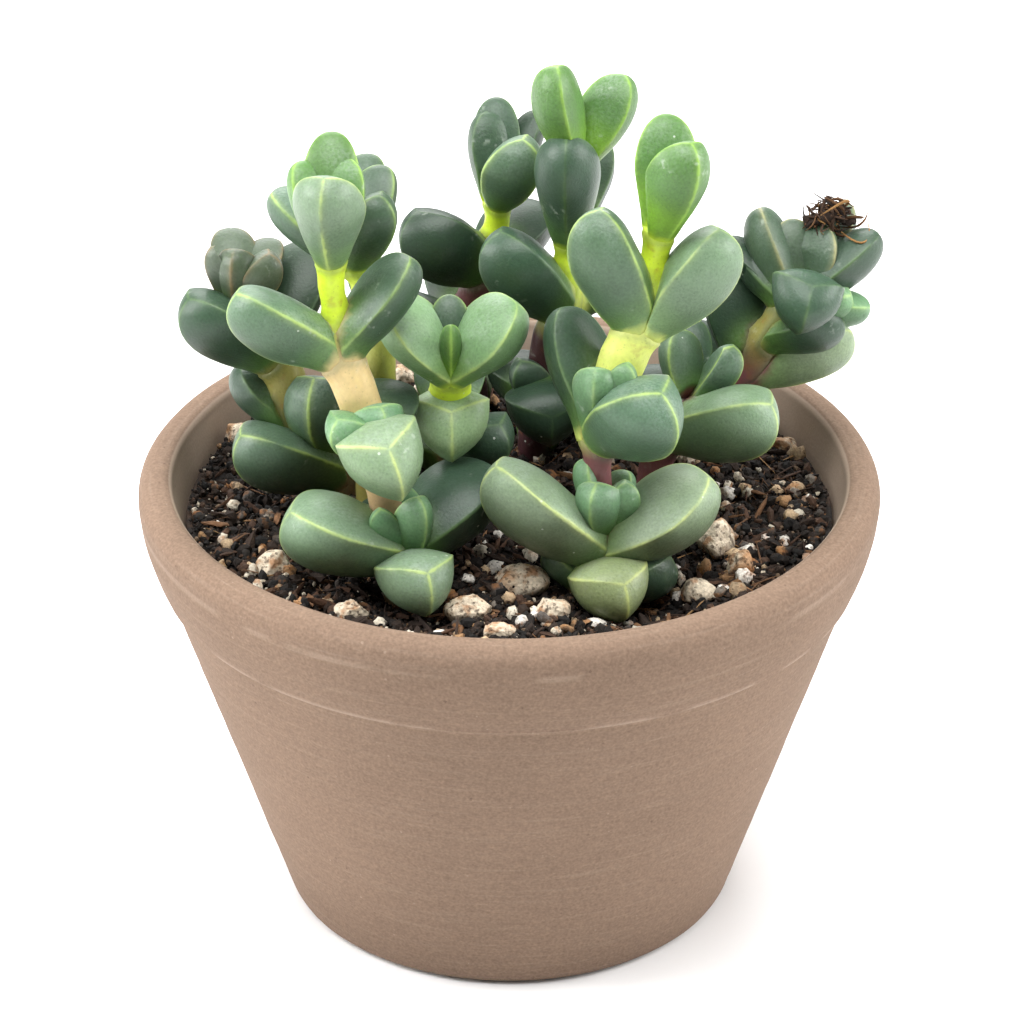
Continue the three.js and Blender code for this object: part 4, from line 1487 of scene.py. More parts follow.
SHOOTS = (
    Shoot(
        "shoot_front_left",
        (
            (-16.5, -24, 67.5, 2.6), (-15.5, -24, 71.5, 2.8), (-18.5, -23, 79, 2.2),
            (-20.3, -22, 88.3, 3), (-23, -21.5, 97.5, 3.2), (-25.5, -21, 103.5, 2.9),
            (-25.5, -20.5, 108, 1.6), (-26, -20, 113, 2), (-26, -20, 118, 1.9),
        ),
        (
            (0, 291, 26, 14, 12, 8.5, 10), (0, 108, 35, 13, 11, 7, 10),
            (1, 190, 24, 19, 15, 10, 8), (1, 44, 24, 19, 13.5, 9.5, 10),
            (1, 222, 60, 9.5, 5.5, 4.5, 0), (1, 300, 70, 11, 6.2, 5, 5),
            (1, 100, 72, 9.5, 6, 4.5, 5), (3, 284, 22, 12, 12.5, 11, 18, -14),
            (3, 82, 18, 13, 12, 7, 10), (3, 229, 42, 10, 8.5, 5.5, 10),
            (3, 290, 62, 9, 8.5, 5, 10), (5, 185, 33, 17.2, 11.5, 8, 8, -10),
            (5, 19, 48, 17.4, 11, 6.6, 6), (5, 215, 62, 5, 3.5, 2.5, 5),
            (5, 330, 60, 4.5, 3, 2.5, 5), (8, 262, 73, 14.8, 10.9, 6.5, 14),
            (8, 89, 60, 18.2, 8.4, 6, 10), (8, 131, 61, 14.5, 7.5, 5, 10),
            (8, 70, 64, 14.5, 8.5, 5, 10),
        ),
        (*[Bark.TAN] * 3, *[Bark.CREAM] * 3, *[Bark.LIME] * 3),
        {
            Tone.PALE: (7,),
            Tone.DUSTY: (0, 2, 15),
            Tone.SHADED: (3, 8),
            Tone.DEEP_SHADE: (1,),
            Tone.BUD: (4, 5, 6, 9, 10, 13, 14),
            Tone.YOUNG: (16, 17, 18),
            Tone.DIM_SHADE: (12,),
        },
    ),
    Shoot(
        "shoot_left_inner",
        ((-21, -3.5, 74, 2.6), (-20, -5, 90, 2.8), (-20.5, -5.5, 104, 2.4), (-23.5, -6.5, 111, 2)),
        (
            (3, 163, 37, 15.6, 9.5, 5.5, 10), (3, 325, 66, 13, 9, 6, 10),
            (3, 78, 45, 17, 8, 5, 10), (3, 56, 53, 15, 8, 5, 10), (2, 136, 57, 5, 5, 4, 10),
            (1, 146, 38, 11, 9, 6, 10),
        ),
        (Bark.OLIVE, Bark.OLIVE, Bark.PALE_LIME, Bark.LIME),
        {Tone.DIM_SHADE: (1, 2, 3, 5)},
    ),
    Shoot(
        "shoot_left",
        (
            (-26, 4, 65, 2.6), (-26.5, 4, 70, 2.8), (-29, 4, 75.5, 3), (-33, 4, 79, 3),
            (-34.5, 4, 86, 3.2), (-37, 4, 90.5, 2.8), (-41, 4, 99, 2.2),
        ),
        (
            (1, 200, 29, 18, 13, 9, 10, -7), (1, 48, 15, 13, 10, 7, 10),
            (2, 258, 72, 13, 12, 7, 10), (3, 158, 41, 12, 11, 7, 10),
            (5, 204, 42, 17, 13, 8, 12, -6), (5, 64, 40, 19, 11, 7, 10),
            (6, 102, 35, 13, 7.5, 6, 10), (6, 197, 70, 10.6, 6, 4, 10),
            (6, 258, 77, 10, 6.8, 4.8, 10), (6, 342, 61, 10, 8, 5, 10),
            (6, 60, 32, 12, 7, 4.5, 10),
        ),
        (*[Bark.TAN] * 2, *[Bark.OLIVE] * 5),
        {Tone.SHADED: (1, 3, 4), Tone.DEEP_SHADE: (5,), Tone.AGED: (6, 7, 8, 9, 10)},
    ),
    Shoot(
        "shoot_centre",
        (
            (-8.5, 0, 67, 2.6), (-8, 0, 74.5, 2.8), (-9, -4, 84.1, 3), (-8.9, -9.5, 91.2, 3.2),
            (-8.8, -12, 94.6, 1.8),
        ),
        (
            (1, 319, 44, 12, 11, 7, 15), (1, 123, 0, 13, 11, 7, 10),
            (2, 272, 27, 11.5, 11.8, 9.5, 15), (2, 91, 18, 12, 11, 6, 10),
            (4, 178, 51, 14.8, 12.4, 6.5, 12, 16), (4, 2, 49, 15.2, 12.8, 7, 12, -18),
            (4, 272, 69, 10.8, 3.4, 3.2, 2), (4, 92, 62, 12, 6.4, 4, 8),
        ),
        (Bark.TAN, Bark.TAN, Bark.LIME, Bark.LIME, Bark.LIME),
        {
            Tone.SHADED: (0, 1, 3),
            Tone.DIM_SHADE: (7,),
            Tone.FRESH: (5,),
            Tone.LIGHT: (2, 4),
            Tone.YOUNG: (6,),
        },
    ),
    Shoot(
        "shoot_back_centre",
        (
            (4, 18, 68, 2.5), (5, 18, 76.5, 2.6), (6.5, 17, 87, 2.8), (9, 16, 92.5, 2.4),
            (9, 16, 98.5, 1.9), (9, 16, 104.5, 1.9), (10, 16, 111, 1.8), (10.5, 16, 117, 1.7),
        ),
        (
            (3, 190, 52, 17, 13, 9, 6, -12), (3, 59, 15, 17, 12, 8, 10),
            (5, 266, 76, 19, 10.5, 7, 10), (5, 70, 37, 18, 9, 6, 8),
            (7, 200, 78, 16.6, 9, 6.5, 6, 35), (7, 30, 57, 15, 8.8, 6.3, 6, -20),
            (1, 233, 55, 9, 6, 5, 10), (1, 278, 7, 12, 13.5, 8, 15), (1, 122, 5, 12, 10, 7, 10),
            (0, 55, 34, 15, 12, 7.5, 10),
        ),
        (*[Bark.DARK] * 3, Bark.PALE_LIME, *[Bark.LIME] * 4),
        {Tone.SHADED: (0, 2, 3, 6), Tone.DEEP_SHADE: (1, 7, 8, 9), Tone.YOUNG: (4, 5)},
    ),
    Shoot(
        "shoot_back",
        (
            (-6.5, 26, 71, 2.8), (-7, 25, 84, 3), (-3.5, 24, 96, 2.6), (-2, 24, 102.5, 1.9),
            (-2, 24, 107, 1.8),
        ),
        (
            (2, 194, 42, 15, 11.9, 9.5, 4, -25), (2, 58, 15, 16, 12, 8, 12),
            (2, 201, 62, 6, 4, 3, 5), (4, 322, 66, 12.6, 10.5, 7, 12),
            (4, 90, 60, 16, 7.5, 6, 10), (4, 103, 66, 13.8, 8.3, 6, 10, -15),
            (4, 50, 48, 15.5, 5.5, 5, 10), (0, 100, 22, 15, 12, 8, 10),
            (1, 95, 32, 16, 12, 8, 10), (1, 185, 20, 14, 11, 7.5, 10),
        ),
        (Bark.DARK, Bark.DARK, Bark.MAUVE, Bark.LIME, Bark.LIME),
        {Tone.DEEP_SHADE: (0, 1, 6, 7, 8, 9), Tone.SHADED: (2, 4, 5)},
    ),
    Shoot(
        "shoot_front_right",
        (
            (12, -24, 66.2, 2.6), (14, -24, 71.5, 2.6), (14, -23.2, 75.5, 2.2), (13.5, -22.5, 81, 1.9),
            (13, -22, 86, 2.1), (13.5, -20.5, 89.7, 2.9), (17, -19, 101, 3.6), (20, -18, 106.5, 3),
            (21, -17, 113.5, 2.1), (22, -16, 120.5, 2),
        ),
        (
            (0, 297, 22, 12.2, 12.4, 8.2, 15), (0, 1, 17, 12.7, 11.2, 8.2, 10),
            (0, 172, 42, 7.4, 7.2, 5, 10), (1, 184, 42, 21.5, 15.4, 9, 4, -8),
            (1, 8, 34, 19.3, 16, 8.6, 4, -5), (2, 252, 68, 8.8, 7.6, 5.5, 8),
            (2, 338, 64, 8.2, 6, 4.5, 8), (2, 160, 76, 10.5, 6, 4, 8),
            (2, 44, 53, 8.5, 5.5, 4, 8), (5, 316, 40, 16, 13.5, 11, 15),
            (5, 126, 60, 19, 11, 7, 8, -10), (5, 260, 70, 13, 8, 4.8, 8),
            (5, 318, 68, 13.4, 6.6, 4.5, 8), (7, 178, 69.5, 19, 10.8, 9, 6, -15),
            (7, 5, 53, 17.9, 11.5, 9, 6, 12), (9, 80, 67, 16.8, 9.3, 6, 8, -15),
            (9, 322, 70, 16, 10, 6.5, 12, 25),
        ),
        (*[Bark.TAN] * 2, *[Bark.MAUVE] * 3, *[Bark.PALE_LIME] * 3, *[Bark.LIME] * 2),
        {
            Tone.OLIVE: (0,),
            Tone.SHADED: (1, 10),
            Tone.PALE: (3, 4),
            Tone.DUSTY: (14,),
            Tone.BUD: (5, 6, 7, 8, 11, 12),
            Tone.YOUNG: (15, 16),
        },
    ),
    Shoot(
        "shoot_right_inner",
        ((22.5, 0, 72, 2.6), (24.5, 0, 79.5, 2.8), (27.5, 0, 84.5, 2.4)),
        (
            (1, 338, 23, 18, 13.5, 10, 12, 10), (1, 160, 15, 15, 12, 8, 10),
            (2, 135, 75, 11, 7.5, 5, 8), (2, 3, 52, 11, 7, 5, 8, 30), (2, 87, 45, 13, 7, 5, 8),
        ),
        (Bark.MAUVE, Bark.MAUVE, Bark.MAUVE),
        {Tone.DUSTY: (0,), Tone.SHADED: (1, 4)},
    ),
    Shoot(
        "shoot_right",
        ((22, 14, 70, 2.6), (30, 12, 79, 2.8), (37.5, 10, 84.5, 2.8), (40, 9, 91, 2.4), (44, 8, 97, 2.4)),
        (
            (2, 5, 19, 16.8, 11, 6.8, 12, 25), (2, 108, 63, 17, 12.5, 8, 8),
            (3, 340, 26, 12.5, 10.5, 6.5, 10), (4, 283, 38, 10.4, 11.5, 8.5, 16, 20),
            (4, 128, 30, 13, 10, 7, 10), (4, 131, 57, 15.5, 8.5, 6, 10, -30),
            (4, 96, 65, 12.8, 8, 5, 8), (4, 50, 62, 12.8, 10.2, 4.5, 8),
            (4, 52, 40, 18, 7.5, 5, 8), (4, 15, 37, 16.5, 8.5, 6, 12),
            (4, 358, -4, 11.6, 6.5, 5, 12), (4, 342, 15, 9, 6, 5, 12),
            (4, 145, 29, 15, 6, 4, 10), (0, 80, 25, 15, 12, 8, 10), (1, 95, 30, 14, 11, 7.5, 10),
        ),
        (Bark.MAUVE, Bark.MAUVE, Bark.MAUVE, Bark.OLIVE, Bark.OLIVE),
        {
            Tone.PALE: (0,),
            Tone.SHADED: (2, 3, 4, 9),
            Tone.DEEP_SHADE: (1, 12, 13, 14),
            Tone.SCUFFED: (5, 6, 7, 8),
        },
    ),
)


def turned_at_random(count: int, rng: np.random.Generator) -> Array:
    """Draws rotation matrices from random unit quaternions.

    Args:
        count: How many.
        rng: The random numbers.

    Returns:
        Count matrices of three by three.
    """
    quaternions = rng.normal(size=(4, count))
    w, x, y, z = quaternions / np.linalg.norm(quaternions, axis=0)
    rows = [
        [1 - 2 * (y * y + z * z), 2 * (x * y - z * w), 2 * (x * z + y * w)],
        [2 * (x * y + z * w), 1 - 2 * (x * x + z * z), 2 * (y * z - x * w)],
        [2 * (x * z - y * w), 2 * (y * z + x * w), 1 - 2 * (x * x + y * y)],
    ]
    return np.moveaxis(np.array(rows), 2, 0)


def ball(detail: int) -> tuple[Array, NDArray[np.int64]]:
    """Gives the points and triangles of a ball.

    Args:
        detail: How fine it is: it has 20 x 4^(detail - 1) faces.

    Returns:
        The points, at a radius of 1, and the rows of three point numbers.
    """
    form = bmesh.new()
    bmesh.ops.create_icosphere(form, subdivisions=detail, radius=1.0)
    form.verts.ensure_lookup_table()
    points = np.array([vertex.co[:] for vertex in form.verts])
    faces = np.array([[vertex.index for vertex in face.verts] for face in form.faces])
    form.free()
    return points, faces


@dataclass
class Scatter:
    """Bits of the mix that are scattered over the soil.

    Attributes:
        name: The piece's name.
        count: How many bits.
        detail: How fine the ball is that a bit is knocked out of.
        sizes: The smallest and largest size in millimetres.
        stretch: The smallest and largest share of the size along the other two axes.
        lift: How far a bit's middle stands over the soil, as a share of its size.
        tints: The colours, each with its share.
        flat: Whether long bits lie flat.
        knock: How far a point is knocked in or out, as a share of its radius.
        tilt: How far a flat bit is tilted, as a slope.
        shading: How much darker or lighter than its tint a bit is.
        margin: How far a bit's middle stays off the wall, as a share of its size.
    """

    name: str
    count: int
    detail: int
    sizes: tuple[float, float]
    stretch: tuple[float, float]
    lift: tuple[float, float]
    tints: Sequence[tuple[Colour, float]]
    flat: bool = False
    knock: float = 0.28
    tilt: float = 0.28
    shading: float = 0.25
    margin: float = 0.6

    def surface(self, mix: "PottingMix", rng: np.random.Generator) -> Surface:
        """Knocks a ball about for every bit, turns it at random and drops it on the soil.

        A bit's point is turn x (size x stretch x (unit point x (1 + knock x random))) + place. Flat bits
        draw a turn in space too, so that every kind draws alike.

        Args:
            mix: The mix, which gives the height of the soil.
            rng: The random numbers.

        Returns:
            All the bits in one surface, with the value "tint".
        """
        points, faces = ball(self.detail)
        count = self.count
        size = self.sizes[0] + (self.sizes[1] - self.sizes[0]) * rng.random(count) ** 2
        scale = size[:, None] / 2 * np.stack(
            [np.ones(count), rng.uniform(*self.stretch, count), rng.uniform(*self.stretch, count)], axis=1
        )
        knock = 1 + self.knock * rng.uniform(-1, 1, (count, len(points), 1))
        bits = points[None] * knock * scale[:, None]
        turns = turned_at_random(count, rng)
        if self.flat:
            angle = rng.uniform(0, FULL_TURN, count)
            tilt = rng.normal(0, self.tilt, count)
            turns = np.zeros((count, 3, 3))
            turns[:, 0] = np.stack([np.cos(angle), -np.sin(angle), np.zeros(count)], axis=1)
            turns[:, 1] = np.stack([np.sin(angle), np.cos(angle), np.zeros(count)], axis=1)
            turns[:, 2] = np.stack([tilt, tilt / 2, np.ones(count)], axis=1)
        bits = np.einsum("nij,nvj->nvi", turns, bits)
        radius = (mix.reach - self.margin * size) * np.sqrt(rng.random(count))
        angle = rng.uniform(0, FULL_TURN, count)
        place = np.stack([radius * np.cos(angle), radius * np.sin(angle)], axis=1)
        height = mix.height(place[:, 0], place[:, 1]) + size * rng.uniform(*self.lift, count)
        bits += np.concatenate([place, height[:, None]], axis=1)[:, None]
        colours = np.array([tint for tint, _ in self.tints])
        shares = np.array([share for _, share in self.tints])
        chosen = colours[rng.choice(len(colours), count, p=shares / shares.sum())]
        chosen = chosen * rng.uniform(1 - self.shading, 1 + self.shading, (count, 1))
        tint = np.concatenate([chosen, np.ones((count, 1))], axis=1)
        triangles = (faces[None] + len(points) * np.arange(count)[:, None, None]).reshape(-1, 3)
        values = {"tint": np.repeat(tint, len(points), axis=0)}
        return Surface(bits.reshape(-1, 3), np.zeros((0, 4), int), triangles, values)


@dataclass
class PottingMix:
    """The soil and everything that lies loose on it, in millimetres.

    Attributes:
        reach: The radius of the soil at the top.
        shoulder_height: The height where the pot's wall gets steeper.
        bed_sink: How far the bed of fine earth lies under the loose bits.
        wall_drop: How far under the level the bed meets the wall.
        hollows: Where the soil is low, under a leaf, as x, y, radius and depth.
        stones: The lumps as x, y, length, breadth, height and turn in degrees.
        facets: How many flat faces a lump is broken to.
        fullest: How far a lump reaches past the ball that it is broken from.
    """

    level: float = 66.0
    reach: float = 50.1
    shoulder_height: float = 57.2
    shoulder_radius: float = 48.6
    floor_height: float = 7.4
    floor_radius: float = 30.1
    bed_sink: float = 0.7
    wall_drop: float = 2.5
    rings: int = 110
    sectors: int = 320
    hollows: Sequence[tuple[float, float, float, float]] = (
        (-14, -29.5, 7.5, 3.4),
        (-18, -19, 7, 1.6),
        (18.5, -25.5, 10, 5.8),
        (8, -23, 4, 1),
        (6, 22, 6, 2),
        (-30.5, 2, 6, 1.3),
        (-21.5, 9, 5, 1),
    )
    stones: Sequence[tuple[float, float, float, float, float, float]] = (
        (-35.5, -21.5, 5.5, 4.8, 4.5, 30),
        (-6, -34, 7, 5.4, 4.4, -15),
        (1.5, -25.5, 8.6, 6, 4.6, 10),
        (31.5, -13.5, 6.4, 5.6, 6, 60),
        (35, -21.5, 4.4, 4, 5, 20),
        (28.5, -25.5, 6, 5, 4, -40),
        (6.5, -35, 4.8, 4, 3.6, 0),
        (-23.5, -34.5, 5, 4, 3.8, 15),
        (-1.5, -41, 4.6, 3.4, 3.2, 5),
        (43.5, 19, 4.4, 4, 3.6, 35),
        (-43, 20.5, 4.8, 4, 3.8, -20),
        (-18, 42, 6, 4.6, 4.2, 50),
        (14, 41, 5, 4.4, 4, -30),
        (32.5, 32.5, 5.6, 4.6, 4, 15),
    )
    facets: int = 11
    fullest: float = 1.04
    pale: Colour = srgb(204, 190, 168)
    stained: Colour = srgb(160, 116, 74)
    lower_dark: Colour = srgb(70, 56, 44)
    dark_earth: Colour = srgb(30, 24, 20)
    brown_earth: Colour = srgb(58, 42, 31)

    def height(self, x: Array, y: Array) -> Array:
        """Gives the soil's height: the level and waves, less a bell-shaped hollow under each low leaf.

        The long wave is 0.5 sin(0.19 x + 0.7) cos(0.16 y - 0.4), two short ones run across it, and a
        hollow is depth exp(-distance^2 / radius^2).

        Args:
            x: Places to the right.
            y: Places to the back.

        Returns:
            The heights.
        """
        long = 0.5 * np.sin(0.19 * x + 0.7) * np.cos(0.16 * y - 0.4)
        short = 0.3 * np.sin(0.55 * x - 0.31 * y) + 0.25 * np.cos(0.43 * y + 0.6 * x)
        height = self.level + long + short
        for hx, hy, radius, depth in self.hollows:
            height = height - depth * np.exp(-((x - hx) ** 2 + (y - hy) ** 2) / radius**2)
        return height

    def bed(self) -> Surface:
        """Builds the bed of fine earth: the top on polar rings, closed down the wall to the floor.

        Returns:
            The closed surface, with the value "tint".
        """
        angle = np.linspace(0, FULL_TURN, self.sectors, endpoint=False)
        radius = self.reach * (1 - np.linspace(0, 1, self.rings, endpoint=False) ** 1.05)
        x, y = radius[:, None] * np.cos(angle), radius[:, None] * np.sin(angle)
        height = self.height(x, y)
        flat = np.stack([x, y, np.zeros_like(x)], axis=-1)
        height += 0.5 * RELIEF.layered(flat, 3.2, 4) - self.bed_sink
        top = np.stack([x, y, height], axis=-1)
        sides = [
            (self.floor_radius, self.floor_height),
            (self.shoulder_radius, self.shoulder_height),
            (self.reach, self.level - self.wall_drop),
        ]
        around = np.stack([np.cos(angle), np.sin(angle), np.ones(self.sectors)], axis=-1)
        walls = [around * (wall_radius, wall_radius, wall_height) for wall_radius, wall_height in sides]
        rings = np.concatenate([np.array(walls), top])
        shape = rings.shape[:2]
        tint = painted(self.dark_earth, shape)
        brown = smooth_step(-0.1, 0.6, RELIEF.layered(rings, 2.0, 3))[..., None]
        tint[..., :3] += brown * (np.array(self.brown_earth) - tint[..., :3])
        first = np.array([0, 0, self.floor_height])
        last = np.array([0, 0, float(self.height(np.zeros(1), np.zeros(1))[0]) - self.bed_sink])
        return skin(rings, {"tint": tint}, first, last)

    def stone(self, index: int) -> Surface:
        """Builds one lump of pumice.

        Every point of a ball is drawn in to the nearest of a few random planes, and then moved by
        layered relief, so the lump has flat broken faces with rough corners.

        Args:
            index: Which stone of the table.

        Returns:
            The closed lump, with the value "tint".
        """
        x, y, length, breadth, height, turn = self.stones[index]
        rng = np.random.default_rng(SEED + index)
        points, faces = ball(5)
        planes = unit(rng.normal(size=(self.facets, 3)))
        reach = rng.uniform(0.7, 0.95, self.facets)
        facing = points @ planes.T
        cut = np.where(facing > 0.05, reach / np.maximum(facing, 0.05), 9.0).min(axis=1)
        lump = points * np.minimum(cut, self.fullest)[:, None]
        lump = lump * np.array([length, breadth, height]) / 2 * self.fullest
        rough = RELIEF.layered(lump + 11 * index, 1.5, 4)
        lump += points * (0.22 * rough[:, None])
        angle = math.radians(turn)
        spun = lump.copy()
        spun[:, 0] = lump[:, 0] * math.cos(angle) - lump[:, 1] * math.sin(angle)
        spun[:, 1] = lump[:, 0] * math.sin(angle) + lump[:, 1] * math.cos(angle)
        middle = self.height(np.array([x]), np.array([y]))[0] + 0.2 * height
        spun += (x, y, middle)
        pale, stained = np.array(self.pale), np.array(self.stained)
        stain = smooth_step(0.05, 0.75, RELIEF.layered(spun, 3.0, 3))[:, None] * rng.uniform(0.2, 0.8)
        # Darker towards the bottom of the lump.
        lower_dark = smooth_step(0.3, -0.5, (spun[:, 2:] - middle) / (height / 2))
        tint = pale + stain * (stained - pale)
        tint = tint + 0.75 * lower_dark * (np.array(self.lower_dark) - tint)
        tint = np.concatenate([tint, np.ones((len(tint), 1))], axis=1)
        return Surface(spun, np.zeros((0, 4), int), faces, {"tint": tint})

    def scatters(self) -> Sequence[Scatter]:
        """Lists the loose bits: dark crumbs, bark, pale grit and grey grit."""
        earth = ((srgb(27, 21, 17), 6), (srgb(44, 33, 26), 4), (srgb(66, 47, 35), 2), (srgb(18, 15, 13), 4))
        bark = (
            (srgb(70, 48, 34), 4),
            (srgb(104, 74, 50), 1.5),
            (srgb(46, 33, 25), 5),
            (srgb(140, 104, 72), 0.6),
        )
        pale = (
            (srgb(202, 192, 174), 4),
            (srgb(176, 152, 122), 3),
            (srgb(220, 214, 204), 2),
            (srgb(142, 110, 78), 2),
        )
        grey = ((srgb(82, 76, 71), 3), (srgb(48, 44, 41), 5), (srgb(122, 114, 104), 1))
        straw = ((srgb(96, 68, 46), 3), (srgb(150, 116, 78), 1), (srgb(58, 42, 32), 3))
        dust = (*earth, (srgb(188, 176, 156), 1.6), (srgb(112, 92, 72), 1.6))
        return (
            Scatter("earth_crumbs", 6500, 1, (0.7, 2.6), (0.5, 0.95), (-0.15, 0.22), earth),
            Scatter("earth_dust", 7500, 1, (0.35, 1.2), (0.5, 0.95), (-0.05, 0.4), dust),
            Scatter("rootlets", 420, 1, (2.2, 6.5), (0.03, 0.07), (0.03, 0.2), straw, flat=True),
            Scatter("bark_chips", 1600, 1, (1.4, 5.6), (0.08, 0.32), (-0.02, 0.18), bark, flat=True),
            Scatter("pale_grit", 560, 2, (0.6, 3.2), (0.6, 0.95), (0.0, 0.25), pale),
            Scatter("grey_grit", 420, 2, (0.8, 2.8), (0.55, 0.9), (0.0, 0.22), grey),
        )

    def build(self) -> None:
        """Makes the bed, the stones and the loose bits."""
        rng = np.random.default_rng(SEED)
        earth = MixFinish("earth", 0.85, (700.0, 3000.0), (0.8, 0.9)).make()
        grit = MixFinish(
            "grit", 0.95, (700.0, 2400.0), (0.8, 1.0), pits=0.42, stain=0.75, relief=0.0003
        ).make()
        bed = self.bed().make("soil_bed", earth)
        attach(bed, BODY)
        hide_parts("soil")
        for index in range(len(self.stones)):
            piece = self.stone(index).make(f"pumice_lump_{index + 1}", grit)
            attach(piece, BODY)
            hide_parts(f"stone_{index + 1}")
        for scatter in self.scatters():
            pale = "grit" in scatter.name
            piece = scatter.surface(self, rng).make(scatter.name, grit if pale else earth, smooth=pale)
            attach(piece, BODY)
            log.info("%s: %d faces", scatter.name, len(piece.data.polygons))


@dataclass
class DriedFlower:
    """The dry seed head over the right shoot: a few dark clumps in a tangle of thin crooked fibres.

    Attributes:
        place: The middle of the seed head, in millimetres.
        clumps: The clumps, each with its middle, its radius and its share of the fibres.
        tints: The colours of the fibres, each with its share.
    """

    place: Place = (49.5, 12.5, 110.2)
    clumps: Sequence[tuple[Place, float, float]] = (
        ((0, 0, -0.3), 1.7, 0.6),
        ((-2.8, -0.6, -1.2), 1.2, 0.25),
        ((2.4, 0.4, -1.8), 0.9, 0.15),
    )
    fibres: int = 80
    fibre_length: float = 6.0
    fibre_radius: float = 0.16
    fibre_sides: int = 5
    brown: Colour = srgb(40, 29, 22)
    tints: Sequence[tuple[Colour, float]] = (
        (srgb(62, 44, 32), 0.4),
        (srgb(92, 64, 40), 0.25),
        (srgb(146, 108, 64), 0.2),
        (srgb(34, 26, 22), 0.15),
    )

    def clump(self, middle: Place, reach: float) -> Surface:
        """Builds one clump: a flattened ball, moved in and out by layered relief."""
        points, faces = ball(4)
        core = points * reach * (1.25, 1, 0.7)
        core += points * (0.45 * reach * RELIEF.layered(core + 5 * reach, 0.9, 3))[:, None] + middle
        return Surface(core, np.zeros((0, 4), int), faces, {"tint": painted(self.brown, (len(core),))})

    def fibre(self, rng: np.random.Generator) -> Surface:
        """Builds one fibre.

        Its centre is start + length (t heading + 2 t (1 - t) crook + a small wave), and its radius falls
        to both ends as 1 - 0.7 (2 t - 1)^2.

        Args:
            rng: The random numbers of the seed head.

        Returns:
            The closed fibre, with the value "tint".
        """
        share = np.linspace(0, 1, 11)
        t = share[:, None]
        middle, reach, _ = self.clumps[rng.choice(len(self.clumps), p=[clump[2] for clump in self.clumps])]
        direction = unit(rng.normal(0, (1.0, 0.9, 0.45)))
        crook = rng.normal(0, (0.5, 0.5, 0.45))
        length = 1.1 * reach + self.fibre_length * rng.random() ** 1.6
        start = middle + rng.normal(0, 0.45, 3) * reach - 0.5 * length * direction
        wave = np.sin(FULL_TURN * t * rng.uniform(0.5, 1.2) + rng.uniform(0, FULL_TURN))
        centre = start + length * (t * direction + 2 * t * (1 - t) * crook + 0.08 * wave * crook[::-1])
        radius = self.fibre_radius * rng.uniform(0.6, 1.9) * (1 - 0.7 * (2 * share - 1) ** 2)
        rings = centre[:, None] + spokes(centre, (0.3, 0.2, 1.0), self.fibre_sides) * radius[:, None, None]
        colours = np.array([tint for tint, _ in self.tints])
        colour = colours[rng.choice(len(colours), p=[part for _, part in self.tints])]
        tint = painted(colour * rng.uniform(0.7, 1.2), rings.shape[:2])
        return skin(rings, {"tint": tint}, centre[0], centre[-1])

    def surface(self) -> Surface:
        """Builds the clumps and the fibres.

        Returns:
            All of it in one surface, with the value "tint".
        """
        rng = np.random.default_rng(SEED + 7)
        parts = [self.clump(middle, reach) for middle, reach, _ in self.clumps]
        parts += [self.fibre(rng) for _ in range(self.fibres)]
        whole = Surface.joined(parts)
        whole.points += self.place
        return whole

    def build(self) -> None:
        """Makes the seed head and stands it for its node."""
        husk = MixFinish("husk", 0.95, (900.0, 3000.0), (0.5, 0.5)).make()
        piece = self.surface().make("dried_seed_head", husk)
        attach(piece, BODY)
        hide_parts("dried_flower")
        log.info("dried flower: %d faces", len(piece.data.polygons))


class Softbox(NamedTuple):
    """A square soft light: its name, its place, its side in metres and its power in watts."""

    name: str
    place: Place
    size: float
    power: float


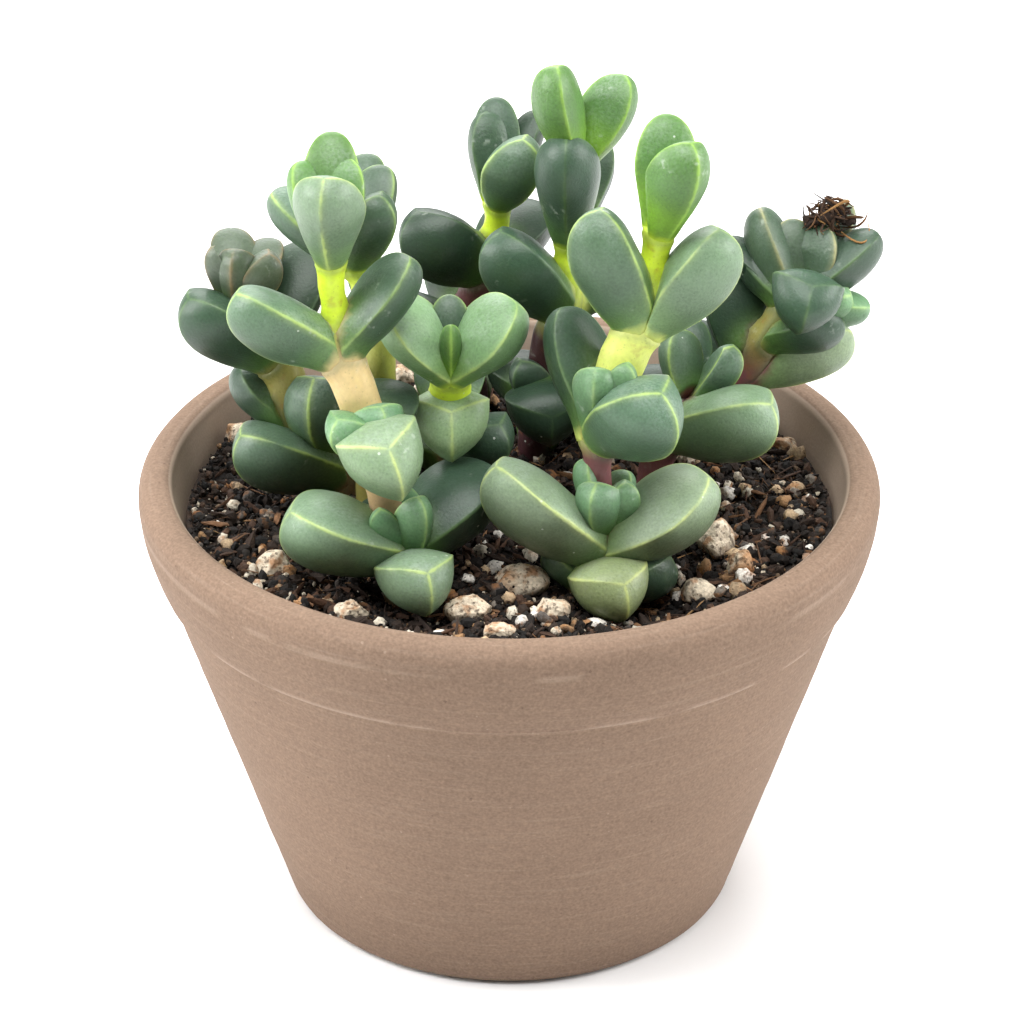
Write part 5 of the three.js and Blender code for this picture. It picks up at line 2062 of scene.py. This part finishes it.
@dataclass
class Studio:
    """A plain pale floor, soft light and the camera at the photograph's angle, in metres.

    Attributes:
        elevation: How far the camera looks down, in degrees.
        lens: Its focal length in millimetres.
        sky: How strong the light from all round is.
        lit: The point that the lights face.
    """

    target: Place = (0.00043, 0.0, 0.0646)
    distance: float = 0.7
    elevation: float = 28.4
    lens: float = 158.2
    floor_size: float = 6.0
    floor_tone: float = 0.93
    sky: float = 0.17
    softboxes: Sequence[Softbox] = (
        Softbox("overhead", (-0.06, -0.16, 0.9), 0.7, 12.0),
        Softbox("left", (-0.85, 0.0, 0.5), 0.6, 12.0),
        Softbox("right", (0.85, 0.05, 0.45), 0.6, 10.0),
        Softbox("back", (-0.1, 0.75, 0.6), 0.7, 7.0),
    )
    lit: Place = (0, 0, 0.08)

    def build(self) -> None:
        """Makes the floor, the lights, the world and the camera."""
        half = self.floor_size / 2
        mesh = bpy.data.meshes.new("studio_floor")
        corners = [(-half, -half, 0), (half, -half, 0), (half, half, 0), (-half, half, 0)]
        mesh.from_pydata(corners, [], [(0, 1, 2, 3)])
        floor = bpy.data.objects.new("studio_floor", mesh)
        bpy.context.scene.collection.objects.link(floor)
        material, _, shader = start_material("studio_floor")
        shader.inputs["Base Color"].default_value = (*[self.floor_tone] * 3, 1)
        shader.inputs["Roughness"].default_value = 0.9
        shader.inputs["Specular IOR Level"].default_value = 0.1
        mesh.materials.append(material)
        world = bpy.data.worlds.new("studio")
        bpy.context.scene.world = world
        world.use_nodes = True
        world.node_tree.nodes["Background"].inputs["Color"].default_value = (1, 1, 1, 1)
        world.node_tree.nodes["Background"].inputs["Strength"].default_value = self.sky
        for softbox in self.softboxes:
            self.hang(softbox)
        self.camera()

    def hang(self, softbox: Softbox) -> None:
        """Hangs a soft light that faces the plant.

        Args:
            softbox: The light.
        """
        light = bpy.data.lights.new(softbox.name, "AREA")
        light.energy = softbox.power
        light.size = softbox.size
        lamp = bpy.data.objects.new(softbox.name, light)
        lamp.location = softbox.place
        lamp.rotation_euler = (Vector(self.lit) - Vector(softbox.place)).to_track_quat("-Z", "Y").to_euler()
        bpy.context.scene.collection.objects.link(lamp)

    def camera(self) -> None:
        """Sets up the camera that looks along +Y, down by the elevation."""
        data = bpy.data.cameras.new("camera")
        data.lens = self.lens
        data.clip_start = 0.01
        camera = bpy.data.objects.new("camera", data)
        rise = math.radians(self.elevation)
        back = Vector((0, -math.cos(rise), math.sin(rise)))
        camera.location = Vector(self.target) + self.distance * back
        camera.rotation_euler = (-back).to_track_quat("-Z", "Y").to_euler()
        bpy.context.scene.collection.objects.link(camera)
        bpy.context.scene.camera = camera


def main() -> None:
    """Builds the studio and every piece in order."""
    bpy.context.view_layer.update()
    bpy.context.scene.view_settings.view_transform = "Standard"
    Studio().build()
    Pot().build(ClayFinish().make())
    PottingMix().build()
    foliage = FoliageFinish().make()
    rng = np.random.default_rng(SEED)
    for shoot in SHOOTS:
        shoot.build(foliage, rng)
    DriedFlower().build()


if __name__ == "__main__":
    main()
